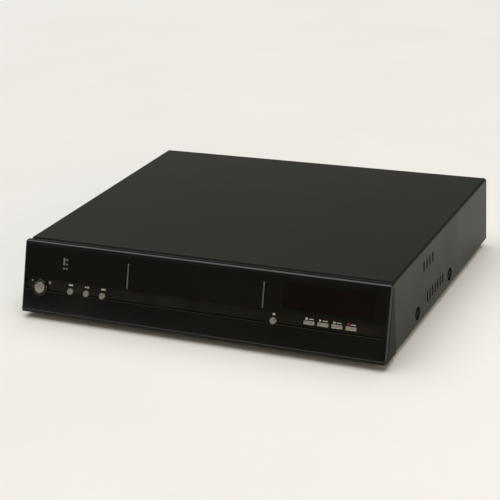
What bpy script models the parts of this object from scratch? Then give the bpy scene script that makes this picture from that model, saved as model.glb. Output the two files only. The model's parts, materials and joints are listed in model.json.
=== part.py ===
"""Disc and hard disk recorder: a full-width component with a raked gloss front.

Metres, +Z up, the front faces -Y and +X is to the right of someone who looks at it.
The origin is the middle of the footprint, at the height that the feet stand on.
Front pieces are drawn in the plane of the raked face: x to the right, y into the
machine, z up the slope, with zero on the sharp corner between face and top shelf.
"""

import math

import bmesh
import bpy
from mathutils import Matrix, Vector

# Whole machine
FRONT_WIDTH = 0.430
COVER_WIDTH = 0.427
BODY_HEIGHT = 0.0755
COVER_DEPTH = 0.320
FOOT_HEIGHT = 0.0075

# Shared fits
FIT = 0.0003
RUNNING = 0.0004
PRESS_ROOM = 0.0003
OVERRUN = 0.002
BITE = 0.0004

# Front moulding
RAKE = math.radians(18.5)
TOP_REACH = 0.006
SHELF_DROP = 0.0003
SEAM = 0.0006
EDGE_RADIUS = 0.0024
CORNER_RADIUS = 0.0020
FRONT_WALL = 0.005
SIDE_WALL = 0.002
TOP_WALL = 0.002
BOTTOM_WALL = 0.0018
BOSS_RADIUS = 0.0025

# Gloss panel, its display window and its indicator marks, measured down the face
PANEL_TOP = 0.0049
PANEL_THICK = 0.002
PANEL_EDGE = 0.0027
LENS_TOP = 0.010
LENS_LOW_ROOM = 0.0046
LENS_DOOR_ROOM = 0.0197
LENS_END_ROOM = 0.017
MARK_RADIUS = 0.0011
MARK_END_ROOM = 0.0522
MARK_PITCH_X = 0.0036
MARK_BAR_TOP = 0.0147
MARK_BAR_LENGTH = 0.0077
MARK_ROW_PITCH = 0.0049
MARK_TOP_ROW = 0.0165
LIGHT_BLOCK_MARGIN = 0.0015

# Tray door, measured down the face
DOOR_WIDTH = 0.1646
DOOR_CENTRE_X = -0.002
DOOR_TOP = 0.0106
DOOR_BAND_ROOM = 0.0004
DOOR_THICK = 0.0038
STRIP_WIDTH = 0.0023
STRIP_INSET = 0.0012
STRIP_END_ROOM = 0.0014
STRIP_PROUD = 0.0008
STRIP_SUNK = 0.0009

# Recessed band, measured down the face
BAND_TOP_SHARE = 0.51
BAND_LOW_SHARE = 0.6607
BAND_SET_BACK = 0.002
BAND_THICK = 0.0016

# Buttons, measured down the face
BUTTON_ROW_RISE = 0.0019
BUTTON_PROUD = 0.0006
BUTTON_TRAVEL = 0.0007
BUTTON_DEPTH = 0.0029
BUTTON_CHAMFER = 0.0005
POWER_END_ROOM = 0.0225
POWER_RADIUS = 0.0062
POWER_PROUD = 0.0012
COLLAR_BAND_ROOM = 0.0007
COLLAR_PROUD = 0.0010
COLLAR_DEPTH = 0.0036
ROUND_RADIUS = 0.0034
ROUND_FIRST_SHARE = 0.3614
ROUND_PITCH_SHARE = 0.1876
OPEN_CLOSE_SHARE = 0.0757
BAR_ROW_RISE = 0.005
BAR_WIDTH = 0.0116
BAR_HEIGHT = 0.0038
BAR_GAP = 0.0035
BAR_LAST_SHARE = 0.7067
STEM_RADIUS = 0.0014
STEM_END = 0.012
CLIP_RADIUS = 0.0024
CLIP_THICK = 0.0008
CLIP_ROOM = 0.0004

# Front boards, measured down the face and into it
FRONT_BOARD_THICK = 0.0016
FRONT_BOARD_DEPTH = 0.016
FRONT_BOARD_TOP = 0.008
FRONT_BOARD_DROP = 0.0002
FRONT_BOARD_END_ROOM = 0.007
FRONT_BOARD_LEFT_ROOM = 0.0057
FRONT_BOARD_RIGHT_ROOM = 0.0047
FRONT_BOARD_BOSS_INSET = 0.005
SWITCH_SIDE = 0.006
DISPLAY_DEPTH = 0.0065
DISPLAY_THICK = 0.0075

# Lower flap, measured down the face
FLAP_TOP_GAP = 0.0007
FLAP_AXIS_ROOM = 0.0042
FLAP_HALF = 0.0015
FLAP_END_GAP = 0.0004
FLAP_NOTCH_ROOM = 0.0008
FLAP_PIN_RADIUS = 0.0010
FLAP_PIN_LENGTH = 0.0014
FLAP_CHAMFER = 0.0006

# Jack panel behind the flap
JACK_PANEL_LIP = 0.007
JACK_PANEL_THICK = 0.0015
JACK_PANEL_DROP = 0.00445
JACK_PANEL_FLAP_ROOM = 0.0054
JACK_PANEL_END_GAP = 0.0005
JACK_HEIGHT = 0.0105
JACK_RADIUS = 0.00415
JACK_HOLE_RADIUS = 0.0017
JACK_STAND_OUT = 0.004
JACK_BODY = 0.008
JACK_BODY_SIDE = 0.0098
FRONT_JACK_END_ROOM = 0.0505
FRONT_JACK_PITCH = 0.0155
DIN_RADIUS = 0.0052
DIN_STAND_OUT = 0.002
DIN_PIN_HOLE_RADIUS = 0.0007
DIN_PIN_CIRCLE = 0.0024

# Top cover
COVER_SHEET = 0.001
COVER_FOLD_RADIUS = 0.003
VENT_WIDTH = 0.0036
VENT_HEIGHT = 0.0115
UPPER_VENT_FIRST_Y = 0.0925
UPPER_VENT_PITCH = 0.0096
UPPER_VENT_DROP = 0.0202
LOWER_VENT_FIRST_Y = 0.1018
LOWER_VENT_PITCH = 0.0086
LOWER_VENT_Z = 0.0175
UPPER_VENTS = 4
LOWER_VENTS = 7
DIMPLE_RADIUS = 0.0075
DIMPLE_DEPTH = 0.002
DIMPLE_RIM = 0.0015
SIDE_SCREW_Z = 0.012
SIDE_SCREW_FRONT_Y = 0.0695
SIDE_SCREW_BACK_Y = 0.1775

# Screws
SCREW_HEAD_RADIUS = 0.0038
SCREW_HEAD_HEIGHT = 0.0016
SCREW_SHANK_RADIUS = 0.0015
SCREW_HOLE_RADIUS = 0.0019
SCREW_LENGTH = 0.006
CROSS_WIDTH = 0.0009
CROSS_LENGTH = 0.0042
CROSS_DEPTH = 0.0008

# Base chassis
FLOOR_THICK = 0.0012
FLOOR_RISE = 0.0004
FLOOR_FRONT_Y = 0.001
FLANGE_HEIGHT = 0.022
FLANGE_FRONT_Y = 0.012
FLANGE_BACK_Y = 0.305
FLOOR_SLOT_LENGTH = 0.040
FLOOR_SLOT_WIDTH = 0.0035
FLOOR_SLOT_PITCH = 0.010
FLOOR_SLOTS = 7
FLOOR_SLOT_FIRST_Y = 0.205
FLOOR_SLOT_SIDE_ROOM = 0.0635
STAND_OFF_RADIUS = 0.003
STAND_OFF_HEIGHT = 0.0062
STAND_OFF_INSET = 0.006

# Feet
FOOT_RADIUS = 0.014
FOOT_NARROW = 0.002
FOOT_HOLLOW_RADIUS = 0.006
FOOT_HOLLOW_DEPTH = 0.004
FOOT_SIDE_ROOM = 0.0485
FOOT_FRONT_Y = 0.026
FOOT_BACK_Y = 0.284

# Rear panel and what it carries
REAR_FACE_Y = 0.3185
REAR_SHEET = 0.0012
REAR_SCREW_SIDE_ROOM = 0.0175
REAR_SCREW_DROP = 0.0115
JACK_OUT = 0.0085
FAN_LOW_ROOM = 0.0095
FAN_TOP_ROOM = 0.006
FAN_THICK = 0.015
FAN_SIDE_ROOM = 0.0755
FAN_BORE_WALL = 0.0025
FAN_HUB_RADIUS = 0.0125
FAN_BLADE_ROOM = 0.0013
FAN_BLADE_THICK = 0.0012
FAN_BLADES = 7
FAN_STRUT_WIDTH = 0.0035
FAN_STRUT_DEPTH = 0.003
FAN_STATOR_RADIUS = 0.011
FAN_SHAFT_RADIUS = 0.0012
FAN_SHAFT_LENGTH = 0.0035
GRILLE_SLOT = 0.0034
GRILLE_PITCH = 0.0068
INLET_SIDE_ROOM = 0.0355
INLET_Z = 0.020
INLET_WIDTH = 0.024
INLET_HEIGHT = 0.016
INLET_BODY_DEPTH = 0.016
INLET_RIM = 0.002
INLET_RIM_THICK = 0.0015
INLET_CAVITY_WIDTH = 0.0158
INLET_CAVITY_HEIGHT = 0.0084
INLET_CAVITY_DEPTH = 0.0125
INLET_PIN_RADIUS = 0.0012
INLET_PIN_PITCH = 0.0086
INLET_PIN_SHORT = 0.003
AERIAL_SIDE_ROOM = 0.0855
AERIAL_LOW_Z = 0.021
AERIAL_PITCH = 0.022
AERIAL_BODY_SIDE = 0.016
AERIAL_BODY_DEPTH = 0.012
AERIAL_RADIUS = 0.0047
AERIAL_OUT = 0.010
AERIAL_PIN_HOLE_RADIUS = 0.0008
AERIAL_RIDGE = 0.0004
AERIAL_RIDGES = 4
BLOCK_SIDE_ROOM = 0.1315
BLOCK_COLUMNS = 4
BLOCK_ROWS = 3
BLOCK_LOW_Z = 0.021
BLOCK_PITCH = 0.014
BLOCK_DEPTH = 0.014
BLOCK_MARGIN = 0.007
HDMI_X = 0.040
HDMI_Z = 0.017
HDMI_WIDTH = 0.0150
HDMI_HEIGHT = 0.0056
HDMI_WALL = 0.0005
HDMI_DEPTH = 0.012
HDMI_CAVITY_DEPTH = 0.009
HDMI_TONGUE_WIDTH = 0.0100
HDMI_TONGUE_THICK = 0.0016
HDMI_CORNER = 0.0014

# Boards inside
BOARD_THICK = 0.0016
BOARD_CHIP_HEIGHT = 0.0025
MAIN_BOARD_SIDE_ROOM = 0.1275
MAIN_BOARD_FRONT_Y = 0.200
MAIN_BOARD_BACK_Y = 0.312
POWER_BOARD_SIDE_ROOM = 0.0105
POWER_BOARD_WIDTH = 0.109
POWER_BOARD_FRONT_Y = 0.120
POWER_BOARD_BACK_Y = 0.298
CHIP_SIDE = 0.030
CHIP_X = -0.030
CHIP_Y = 0.245
SMALL_CHIP_SIDE = 0.014
SMALL_CHIP_FIRST_X = 0.010
SMALL_CHIP_PITCH = 0.020
SMALL_CHIPS = 3
TRANSFORMER_INSET = 0.033
TRANSFORMER_Y = 0.180
TRANSFORMER_SIDE = 0.034
TRANSFORMER_HEIGHT = 0.028
TRANSFORMER_CORE = 0.022
TRANSFORMER_CORE_SPREAD = 0.004
CAPACITOR_INSET = 0.085
CAPACITOR_Y = 0.250
CAPACITOR_RADIUS = 0.0125
CAPACITOR_HEIGHT = 0.034
CAPACITOR_GROOVE = 0.0008
SINK_INSET = 0.073
SINK_Y = 0.165
SINK_WIDTH = 0.022
SINK_LENGTH = 0.050
SINK_HEIGHT = 0.036
SINK_BASE = 0.004
SINK_FIN = 0.0018
SINK_FINS = 5

# Hard disk and its bracket
DISK_WIDTH = 0.1016
DISK_LENGTH = 0.147
DISK_HEIGHT = 0.0261
DISK_SIDE_ROOM = 0.0675
DISK_FRONT_Y = 0.024
DISK_Z = 0.024
DISK_LID_INSET = 0.004
DISK_LID_RAISE = 0.0015
DISK_CONNECTOR_WIDTH = 0.058
DISK_CONNECTOR_HEIGHT = 0.006
DISK_CONNECTOR_DEPTH = 0.005
BRACKET_SHEET = 0.0014
BRACKET_FOOT = 0.008
BRACKET_OVERHANG = 0.003
BRACKET_END_ROOM = 0.006

# Optical drive
DRIVE_WIDTH = 0.148
DRIVE_FRONT_Y = 0.006
DRIVE_BACK_Y = 0.190
DRIVE_BELOW_TRAY = 0.016
DRIVE_TOP_ROOM = 0.0095
DRIVE_WALL = 0.0016
DRIVE_SILL = 0.009
DRIVE_LID_THICK = 0.0012
DRIVE_DOME_RADIUS = 0.022
DRIVE_DOME_RAISE = 0.0012
LEDGE_WIDTH = 0.006
LEDGE_THICK = 0.002
TRAY_TRAVEL = 0.135
TRAY_WIDTH = 0.138
TRAY_FRONT_Y = -0.0080
TRAY_BACK_Y = 0.160
TRAY_RISE_SHARE = 0.3534
TRAY_THICK = 0.006
DISC_RADIUS = 0.0605
SMALL_DISC_RADIUS = 0.0405
DISC_STEP = 0.0018
DISC_CENTRE_Y = 0.0575
TRAY_SLOT_WIDTH = 0.036
TRAY_SLOT_BACK = 0.050
DOOR_NECK_WIDTH = 0.118
DOOR_NECK_THICK = 0.004
GEAR_MODULE = 0.0008
GEAR_TEETH = 16
GEAR_PRESSURE = math.radians(20)
GEAR_BACKLASH = 0.00024
GEAR_WIDTH = 0.0026
GEAR_POST_RADIUS = 0.0016
GEAR_Y = 0.016
RACK_INSET = 0.009
RACK_BODY = 0.0022
RACK_DROP = 0.0034
RACK_SPARE_TEETH = 5
MOTOR_RADIUS = 0.0125
MOTOR_HEIGHT = 0.0075
TURNTABLE_RADIUS = 0.0115
TURNTABLE_THICK = 0.0018
TURNTABLE_CONE_RADIUS = 0.0072
TURNTABLE_CONE_HEIGHT = 0.0020
SPINDLE_SHAFT_RADIUS = 0.0010
SPINDLE_SHAFT_LENGTH = 0.004
SLED_WIDTH = 0.046
SLED_LENGTH = 0.022
SLED_HEIGHT = 0.007
SLED_LIFT = 0.0030
SLED_GAP = 0.004
SLED_TRAVEL = 0.034
SLED_ROD_X = 0.018
SLED_ROD_RADIUS = 0.0015
SLED_ROD_RISE = 0.0065
SLED_ROD_END = 0.010
LASER_LENS_RADIUS = 0.0035
LASER_LENS_RAISE = 0.0012
ROD_BLOCK_SIDE = 0.007

# How finely round shapes are drawn
FINE = 32
ROUND = 20
PLAIN = 14
SMALL = 10
CORNER_STEPS = 3
FOLD_STEPS = 4
SHARP_ANGLE = math.radians(35)

# Places worked out from the sizes above
HALF_FRONT = FRONT_WIDTH / 2
HALF_COVER = COVER_WIDTH / 2
COVER_INSIDE = HALF_COVER - COVER_SHEET
CORNER_HEIGHT = BODY_HEIGHT - SHELF_DROP
FACE_LENGTH = BODY_HEIGHT / math.cos(RAKE)
BAND_TOP = FACE_LENGTH * BAND_TOP_SHARE
BAND_LOW = FACE_LENGTH * BAND_LOW_SHARE
DOOR_LOW = BAND_TOP - DOOR_BAND_ROOM
DOOR_HALF = DOOR_WIDTH / 2
DOOR_LEFT_X = DOOR_CENTRE_X - DOOR_HALF
DOOR_RIGHT_X = DOOR_CENTRE_X + DOOR_HALF
DOOR_TO_END = HALF_FRONT - DOOR_RIGHT_X
LENS_HEIGHT = BAND_TOP - LENS_TOP - LENS_LOW_ROOM
LENS_WIDTH = DOOR_TO_END - LENS_DOOR_ROOM - LENS_END_ROOM
LENS_CENTRE_X = DOOR_RIGHT_X + LENS_DOOR_ROOM + LENS_WIDTH / 2
MARK_LEFT_X = MARK_END_ROOM - HALF_FRONT
BUTTON_ROW = BAND_LOW - BUTTON_ROW_RISE
COLLAR_RADIUS = BUTTON_ROW - BAND_TOP - COLLAR_BAND_ROOM
POWER_X = POWER_END_ROOM - HALF_FRONT
POWER_TO_DOOR = DOOR_LEFT_X - POWER_X
ROUND_FIRST_X = POWER_X + POWER_TO_DOOR * ROUND_FIRST_SHARE
ROUND_PITCH = POWER_TO_DOOR * ROUND_PITCH_SHARE
OPEN_CLOSE_X = DOOR_RIGHT_X + DOOR_TO_END * OPEN_CLOSE_SHARE
BAR_ROW = BAND_LOW - BAR_ROW_RISE
BAR_PITCH = BAR_WIDTH + BAR_GAP
BAR_LAST_X = DOOR_RIGHT_X + DOOR_TO_END * BAR_LAST_SHARE
FLAP_TOP = BAND_LOW + FLAP_TOP_GAP
FLAP_AXIS = FACE_LENGTH - FLAP_AXIS_ROOM
FRONT_BOARD_LOW = FLAP_TOP + FRONT_BOARD_DROP
FRONT_BOARD_OUTER_X = HALF_FRONT - FRONT_BOARD_END_ROOM
FRONT_BOARD_INNER_LEFT_X = DOOR_LEFT_X - FRONT_BOARD_LEFT_ROOM
FRONT_BOARD_INNER_RIGHT_X = DOOR_RIGHT_X + FRONT_BOARD_RIGHT_ROOM
JACK_PANEL_TOP = CORNER_HEIGHT - FLAP_TOP * math.cos(RAKE) - JACK_PANEL_DROP
JACK_PANEL_LEAN = (CORNER_HEIGHT - JACK_PANEL_TOP) * math.tan(RAKE)
JACK_PANEL_FRONT = TOP_REACH + JACK_PANEL_LEAN - JACK_PANEL_FLAP_ROOM
JACK_PANEL_BACK = JACK_PANEL_FRONT - JACK_PANEL_LIP
FRONT_JACK_LAST_X = HALF_FRONT - FRONT_JACK_END_ROOM
UPPER_VENT_Z = BODY_HEIGHT - UPPER_VENT_DROP
FLOOR_SLOT_X = HALF_COVER - FLOOR_SLOT_SIDE_ROOM
FOOT_X = HALF_COVER - FOOT_SIDE_ROOM
REAR_SCREW_X = HALF_COVER - REAR_SCREW_SIDE_ROOM
REAR_SCREW_Z = BODY_HEIGHT - REAR_SCREW_DROP
FAN_SIDE = BODY_HEIGHT - FAN_LOW_ROOM - FAN_TOP_ROOM
FAN_X = HALF_COVER - FAN_SIDE_ROOM
FAN_Z = FAN_LOW_ROOM + FAN_SIDE / 2
FAN_BORE_RADIUS = FAN_SIDE / 2 - FAN_BORE_WALL
FAN_BLADE_RADIUS = FAN_BORE_RADIUS - FAN_BLADE_ROOM
INLET_X = INLET_SIDE_ROOM - HALF_COVER
AERIAL_X = AERIAL_SIDE_ROOM - HALF_COVER
BLOCK_FIRST_X = BLOCK_SIDE_ROOM - HALF_COVER
MAIN_BOARD_RIGHT_X = HALF_COVER - MAIN_BOARD_SIDE_ROOM
MAIN_BOARD_LEFT_X = -MAIN_BOARD_RIGHT_X
POWER_BOARD_LEFT_X = POWER_BOARD_SIDE_ROOM - HALF_COVER
POWER_BOARD_RIGHT_X = POWER_BOARD_LEFT_X + POWER_BOARD_WIDTH
TRANSFORMER_X = POWER_BOARD_LEFT_X + TRANSFORMER_INSET
CAPACITOR_X = POWER_BOARD_LEFT_X + CAPACITOR_INSET
SINK_X = POWER_BOARD_LEFT_X + SINK_INSET
DISK_X = HALF_COVER - DISK_SIDE_ROOM
DOOR_HEIGHT = DOOR_LOW - DOOR_TOP
TRAY_LOW = CORNER_HEIGHT - (DOOR_LOW - DOOR_HEIGHT * TRAY_RISE_SHARE) * math.cos(RAKE)
DRIVE_LOW = TRAY_LOW - DRIVE_BELOW_TRAY
DRIVE_TOP = BODY_HEIGHT - DRIVE_TOP_ROOM
FRONT_MOST = TOP_REACH + FLAP_AXIS * math.sin(RAKE) + FLAP_HALF
REAR_MOST = REAR_FACE_Y + AERIAL_OUT
COVER_FRONT_Y = (FRONT_MOST - REAR_MOST) / 2
BAND_BACK = BAND_SET_BACK + BAND_THICK
DIMPLE_BACK = DIMPLE_DEPTH + COVER_SHEET
FLANGE_OUTSIDE = HALF_COVER - DIMPLE_BACK - FIT
FLOOR_TOP = FLOOR_RISE + FLOOR_THICK
BOARD_LOW = FLOOR_TOP + STAND_OFF_HEIGHT + FIT
BOARD_TOP = BOARD_LOW + BOARD_THICK
REAR_INSIDE_Y = REAR_FACE_Y - REAR_SHEET
PITCH_RADIUS = GEAR_MODULE * GEAR_TEETH / 2
DRIVE_X = DOOR_CENTRE_X
TRAY_TOP = TRAY_LOW + TRAY_THICK


def back(y):
    """World y of a place this far behind the cover's front edge."""
    return COVER_FRONT_Y + y


def up(z):
    """World z of a place this far above the cover's lower edge."""
    return FOOT_HEIGHT + z


def face_point(down, depth):
    """World (y, z) of a place down the raked face and into it."""
    y = back(-TOP_REACH) - down * math.sin(RAKE) + depth * math.cos(RAKE)
    z = up(CORNER_HEIGHT) - down * math.cos(RAKE) - depth * math.sin(RAKE)
    return y, z


def down_at(height, depth):
    """How far down the face a world height lies, at this depth into the face."""
    return (up(CORNER_HEIGHT) - height - depth * math.sin(RAKE)) / math.cos(RAKE)


def face_at(height, depth):
    """World (y, z) of the place at this depth into the face and this world height."""
    return face_point(down_at(height, depth), depth)


def arc(centre, radius, start, end, steps):
    """Points of a circular arc, ends included."""
    turns = [start + (end - start) * step / steps for step in range(steps + 1)]
    return [(centre[0] + radius * math.cos(turn), centre[1] + radius * math.sin(turn)) for turn in turns]


def look(name, colour, roughness, metallic=0.0):
    """A plain surface: its colour, how rough it is and whether it is bare metal."""
    surface = bpy.data.materials.new(name)
    surface.use_nodes = True
    shader = surface.node_tree.nodes["Principled BSDF"]
    shader.inputs["Base Color"].default_value = (*colour, 1.0)
    shader.inputs["Roughness"].default_value = roughness
    shader.inputs["Metallic"].default_value = metallic
    return surface


def block(bm, low, high):
    """Add a box that runs from its low corner to its high corner."""
    low, high = Vector(low), Vector(high)
    bmesh.ops.create_cube(bm, size=1, matrix=Matrix.LocRotScale((low + high) / 2, None, high - low))


def rod(bm, start, end, radius, steps, tip=None):
    """Add a round bar, or a cone when the tip has a radius of its own."""
    start, end = Vector(start), Vector(end)
    turn = Vector((0, 0, 1)).rotation_difference(end - start)
    bmesh.ops.create_cone(
        bm,
        cap_ends=True,
        segments=steps,
        radius1=radius,
        radius2=radius if tip is None else tip,
        depth=(end - start).length,
        matrix=Matrix.LocRotScale((start + end) / 2, turn, None),
    )


def prism(bm, outline, axis, start, end):
    """Add a closed outline, drawn across an axis, swept from start to end along it."""
    places = {
        "X": lambda across, height, along: (along, across, height),
        "Y": lambda across, height, along: (across, along, height),
        "Z": lambda across, height, along: (across, height, along),
    }
    before = bm.calc_volume(signed=True)
    near = [bm.verts.new(places[axis](a, b, start)) for a, b in outline]
    far = [bm.verts.new(places[axis](a, b, end)) for a, b in outline]
    faces = [bm.faces.new(near[::-1]), bm.faces.new(far)]
    for step, corner in enumerate(near):
        faces.append(bm.faces.new([near[step - 1], corner, far[step], far[step - 1]]))
    if bm.calc_volume(signed=True) < before:
        bmesh.ops.reverse_faces(bm, faces=faces)


def turned(bm, profile, steps, place=None, hollow=False):
    """Add a turned solid about local Z from the (radius, height) pairs of its profile.
    Its ends are flat, or, when it is hollow, the profile goes round the ring's section."""
    place = place or Matrix()
    before = bm.calc_volume(signed=True)
    rings = []
    for radius, height in profile:
        spots = arc((0, 0), radius, 0, math.tau, steps)[:-1]
        rings.append([bm.verts.new(place @ Vector((x, y, height))) for x, y in spots])
    if hollow:
        rings.append(rings[0])
        faces = []
    else:
        faces = [bm.faces.new(rings[0][::-1]), bm.faces.new(rings[-1])]
    for lower, upper in zip(rings, rings[1:]):
        for step in range(steps):
            faces.append(bm.faces.new([lower[step - 1], lower[step], upper[step], upper[step - 1]]))
    if bm.calc_volume(signed=True) < before:
        bmesh.ops.reverse_faces(bm, faces=faces)


def finish(name, bm, surface=None, parent=None, location=(0, 0, 0)):
    """Turn a bmesh into an object, smooth where it is round and sharp where it isn't."""
    mesh = bpy.data.meshes.new(name)
    bm.to_mesh(mesh)
    bm.free()
    mesh.shade_smooth()
    mesh.set_sharp_from_angle(angle=SHARP_ANGLE)
    piece = bpy.data.objects.new(name, mesh)
    bpy.context.scene.collection.objects.link(piece)
    piece.parent = parent
    piece.location = location
    if surface:
        mesh.materials.append(surface)
    return piece


def tool(piece, bm, operation):
    """Cut a shape out of a piece, or join one to it. Both share the piece's axes."""
    helper = finish(f"{piece.name}_{operation.lower()}_{len(piece.modifiers)}", bm, None, piece.parent)
    helper.location = piece.location
    helper.hide_render = True
    helper.display_type = "WIRE"
    step = piece.modifiers.new(operation.title(), "BOOLEAN")
    step.operation = operation
    step.object = helper


def cut(piece, bm):
    tool(piece, bm, "DIFFERENCE")


def join(piece, bm):
    tool(piece, bm, "UNION")


def clear_scene():
    for piece in list(bpy.data.objects):
        bpy.data.objects.remove(piece)


def front_plane():
    """The empty that carries the pieces drawn in the plane of the raked face."""
    plane = bpy.data.objects.new("front_plane", None)
    plane.location = (0, back(-TOP_REACH), up(CORNER_HEIGHT))
    plane.rotation_euler = (-RAKE, 0, 0)
    bpy.context.scene.collection.objects.link(plane)
    return plane


def door_heights(room):
    """World heights of the tray door's lower and upper edges, with room round them."""
    low = face_point(DOOR_LOW, 0)[1] - room
    high = face_point(DOOR_TOP, 0)[1] + room
    return low, high


def door_opening(bm, room):
    """The way of the tray door: straight through the front, with room round the door."""
    low, high = door_heights(room)
    half = DOOR_WIDTH / 2 + room
    front = back(-FRONT_MOST) - OVERRUN
    block(bm, (DOOR_CENTRE_X - half, front, low), (DOOR_CENTRE_X + half, back(OVERRUN), high))


def round_button_places():
    """Places along the face of the three small round buttons and the open and close button."""
    places = [ROUND_FIRST_X + ROUND_PITCH * step for step in range(3)]
    return places + [OPEN_CLOSE_X]


def bar_button_places():
    return [BAR_LAST_X - BAR_PITCH * step for step in (3, 2, 1, 0)]


def board_spans():
    """The left and right front boards, each from its left edge to its right edge."""
    left = (-FRONT_BOARD_OUTER_X, FRONT_BOARD_INNER_LEFT_X)
    right = (FRONT_BOARD_INNER_RIGHT_X, FRONT_BOARD_OUTER_X)
    return left, right


def fascia_frame(plane):
    """The front moulding: a raked shell, open at the back, that holds every front piece."""
    corner = (back(-TOP_REACH), up(CORNER_HEIGHT))
    turn = math.pi / 2 - RAKE
    reach = EDGE_RADIUS * math.tan(turn / 2)
    centre = (corner[0] + reach, corner[1] - EDGE_RADIUS)
    outline = [(back(-SEAM), corner[1])]
    outline += arc(centre, EDGE_RADIUS, math.pi / 2, math.pi / 2 + turn, CORNER_STEPS)
    outline += [face_at(up(0), 0), (back(-SEAM), up(0))]
    bm = bmesh.new()
    prism(bm, outline, "X", -HALF_FRONT, HALF_FRONT)
    ends = [
        edge
        for edge in bm.edges
        if abs(edge.verts[0].co.x - edge.verts[1].co.x) < FIT
        and max(vert.co.z for vert in edge.verts) > up(FIT)
        and min(vert.co.y for vert in edge.verts) < back(-SEAM) - FIT
    ]
    bmesh.ops.bevel(
        bm,
        geom=ends,
        offset=CORNER_RADIUS,
        segments=CORNER_STEPS,
        profile=0.5,
        affect="EDGES",
        clamp_overlap=True,
    )
    frame = finish("fascia_frame", bm, look("fascia black", (0.012, 0.012, 0.011), 0.3))

    inside = HALF_FRONT - SIDE_WALL
    hollow = bmesh.new()
    roof = up(CORNER_HEIGHT) - TOP_WALL
    floor = up(BOTTOM_WALL)
    section = [(back(OVERRUN), roof), face_at(roof, FRONT_WALL)]
    section += [face_at(floor, FRONT_WALL), (back(OVERRUN), floor)]
    prism(hollow, section, "X", -inside, inside)
    cut(frame, hollow)

    openings = bmesh.new()
    way_in = face_point(FLAP_TOP - FIT, FRONT_WALL + OVERRUN)
    way_out = face_point(FLAP_TOP - FIT, -OVERRUN)
    outside = (back(-FRONT_MOST) - OVERRUN, floor)
    prism(openings, [way_in, way_out, outside, (way_in[0], floor)], "X", -inside, inside)
    cut(frame, openings)

    door = bmesh.new()
    door_opening(door, RUNNING)
    cut(frame, door)

    pockets = bmesh.new()
    side = HALF_FRONT - PANEL_EDGE
    panel_seat, band_seat = PANEL_THICK + FIT, BAND_BACK + FIT
    section = [(-OVERRUN, FIT - PANEL_TOP), (panel_seat, FIT - PANEL_TOP), (panel_seat, FIT - BAND_TOP)]
    section += [(band_seat, FIT - BAND_TOP), (band_seat, -FLAP_TOP), (-OVERRUN, -FLAP_TOP)]
    prism(pockets, section, "X", -side, side)
    pockets.transform(plane.matrix_basis)
    cut(frame, pockets)

    holes = bmesh.new()
    reach = FRONT_WALL + OVERRUN
    for x in round_button_places():
        rod(holes, (x, 0, -BUTTON_ROW), (x, reach, -BUTTON_ROW), STEM_RADIUS + RUNNING, SMALL)
    for x in bar_button_places():
        rod(holes, (x, 0, -BAR_ROW), (x, reach, -BAR_ROW), STEM_RADIUS + RUNNING, SMALL)
    rod(holes, (POWER_X, 0, -BUTTON_ROW), (POWER_X, reach, -BUTTON_ROW), STEM_RADIUS + RUNNING, SMALL)
    low, high = light_block_corners(FIT)
    block(holes, low, high)
    lens = LENS_WIDTH / 2
    lens_low = LENS_TOP + LENS_HEIGHT
    block(holes, (LENS_CENTRE_X - lens, 0, -lens_low), (LENS_CENTRE_X + lens, reach, -LENS_TOP))
    for end in (-1, 1):
        start = (end * (inside - FIT), 0, -FLAP_AXIS)
        rod(holes, start, (end * (inside + FLAP_PIN_LENGTH), 0, -FLAP_AXIS), FLAP_PIN_RADIUS + FIT, SMALL)
    holes.transform(plane.matrix_basis)
    cut(frame, holes)

    bosses = bmesh.new()
    for span in board_spans():
        for x in (span[0] + FRONT_BOARD_BOSS_INSET, span[1] - FRONT_BOARD_BOSS_INSET):
            z = -FRONT_BOARD_TOP - FRONT_BOARD_BOSS_INSET
            rod(bosses, (x, FRONT_WALL - BITE, z), (x, FRONT_BOARD_DEPTH - FIT, z), BOSS_RADIUS, SMALL)
    bosses.transform(plane.matrix_basis)
    join(frame, bosses)
    return frame


def light_block_corners(room):
    """Low and high corners of the light pipe's block, with room round it."""
    left = MARK_LEFT_X - MARK_RADIUS - LIGHT_BLOCK_MARGIN - room
    right = MARK_LEFT_X + MARK_PITCH_X + MARK_RADIUS + LIGHT_BLOCK_MARGIN + room
    top = MARK_BAR_TOP - LIGHT_BLOCK_MARGIN - room
    low = MARK_TOP_ROW + 2 * MARK_ROW_PITCH + MARK_RADIUS + LIGHT_BLOCK_MARGIN + room
    start = PANEL_THICK + FIT - room
    return (left, start, -low), (right, FRONT_BOARD_DEPTH - FIT, -top)


def mark_shapes(bm, start, end, room):
    """The indicator marks: one upright bar and four dots, as rods through the panel."""
    right = MARK_LEFT_X + MARK_PITCH_X
    low = MARK_TOP_ROW + 2 * MARK_ROW_PITCH
    radius = MARK_RADIUS + room
    bar_low = MARK_BAR_TOP + MARK_BAR_LENGTH + room
    block(bm, (MARK_LEFT_X - radius, start, -bar_low), (MARK_LEFT_X + radius, end, -MARK_BAR_TOP + room))
    middle = MARK_TOP_ROW + MARK_ROW_PITCH
    for x, down in ((right, MARK_TOP_ROW), (right, middle), (right, low), (MARK_LEFT_X, low)):
        rod(bm, (x, start, -down), (x, end, -down), radius, SMALL)


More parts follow.
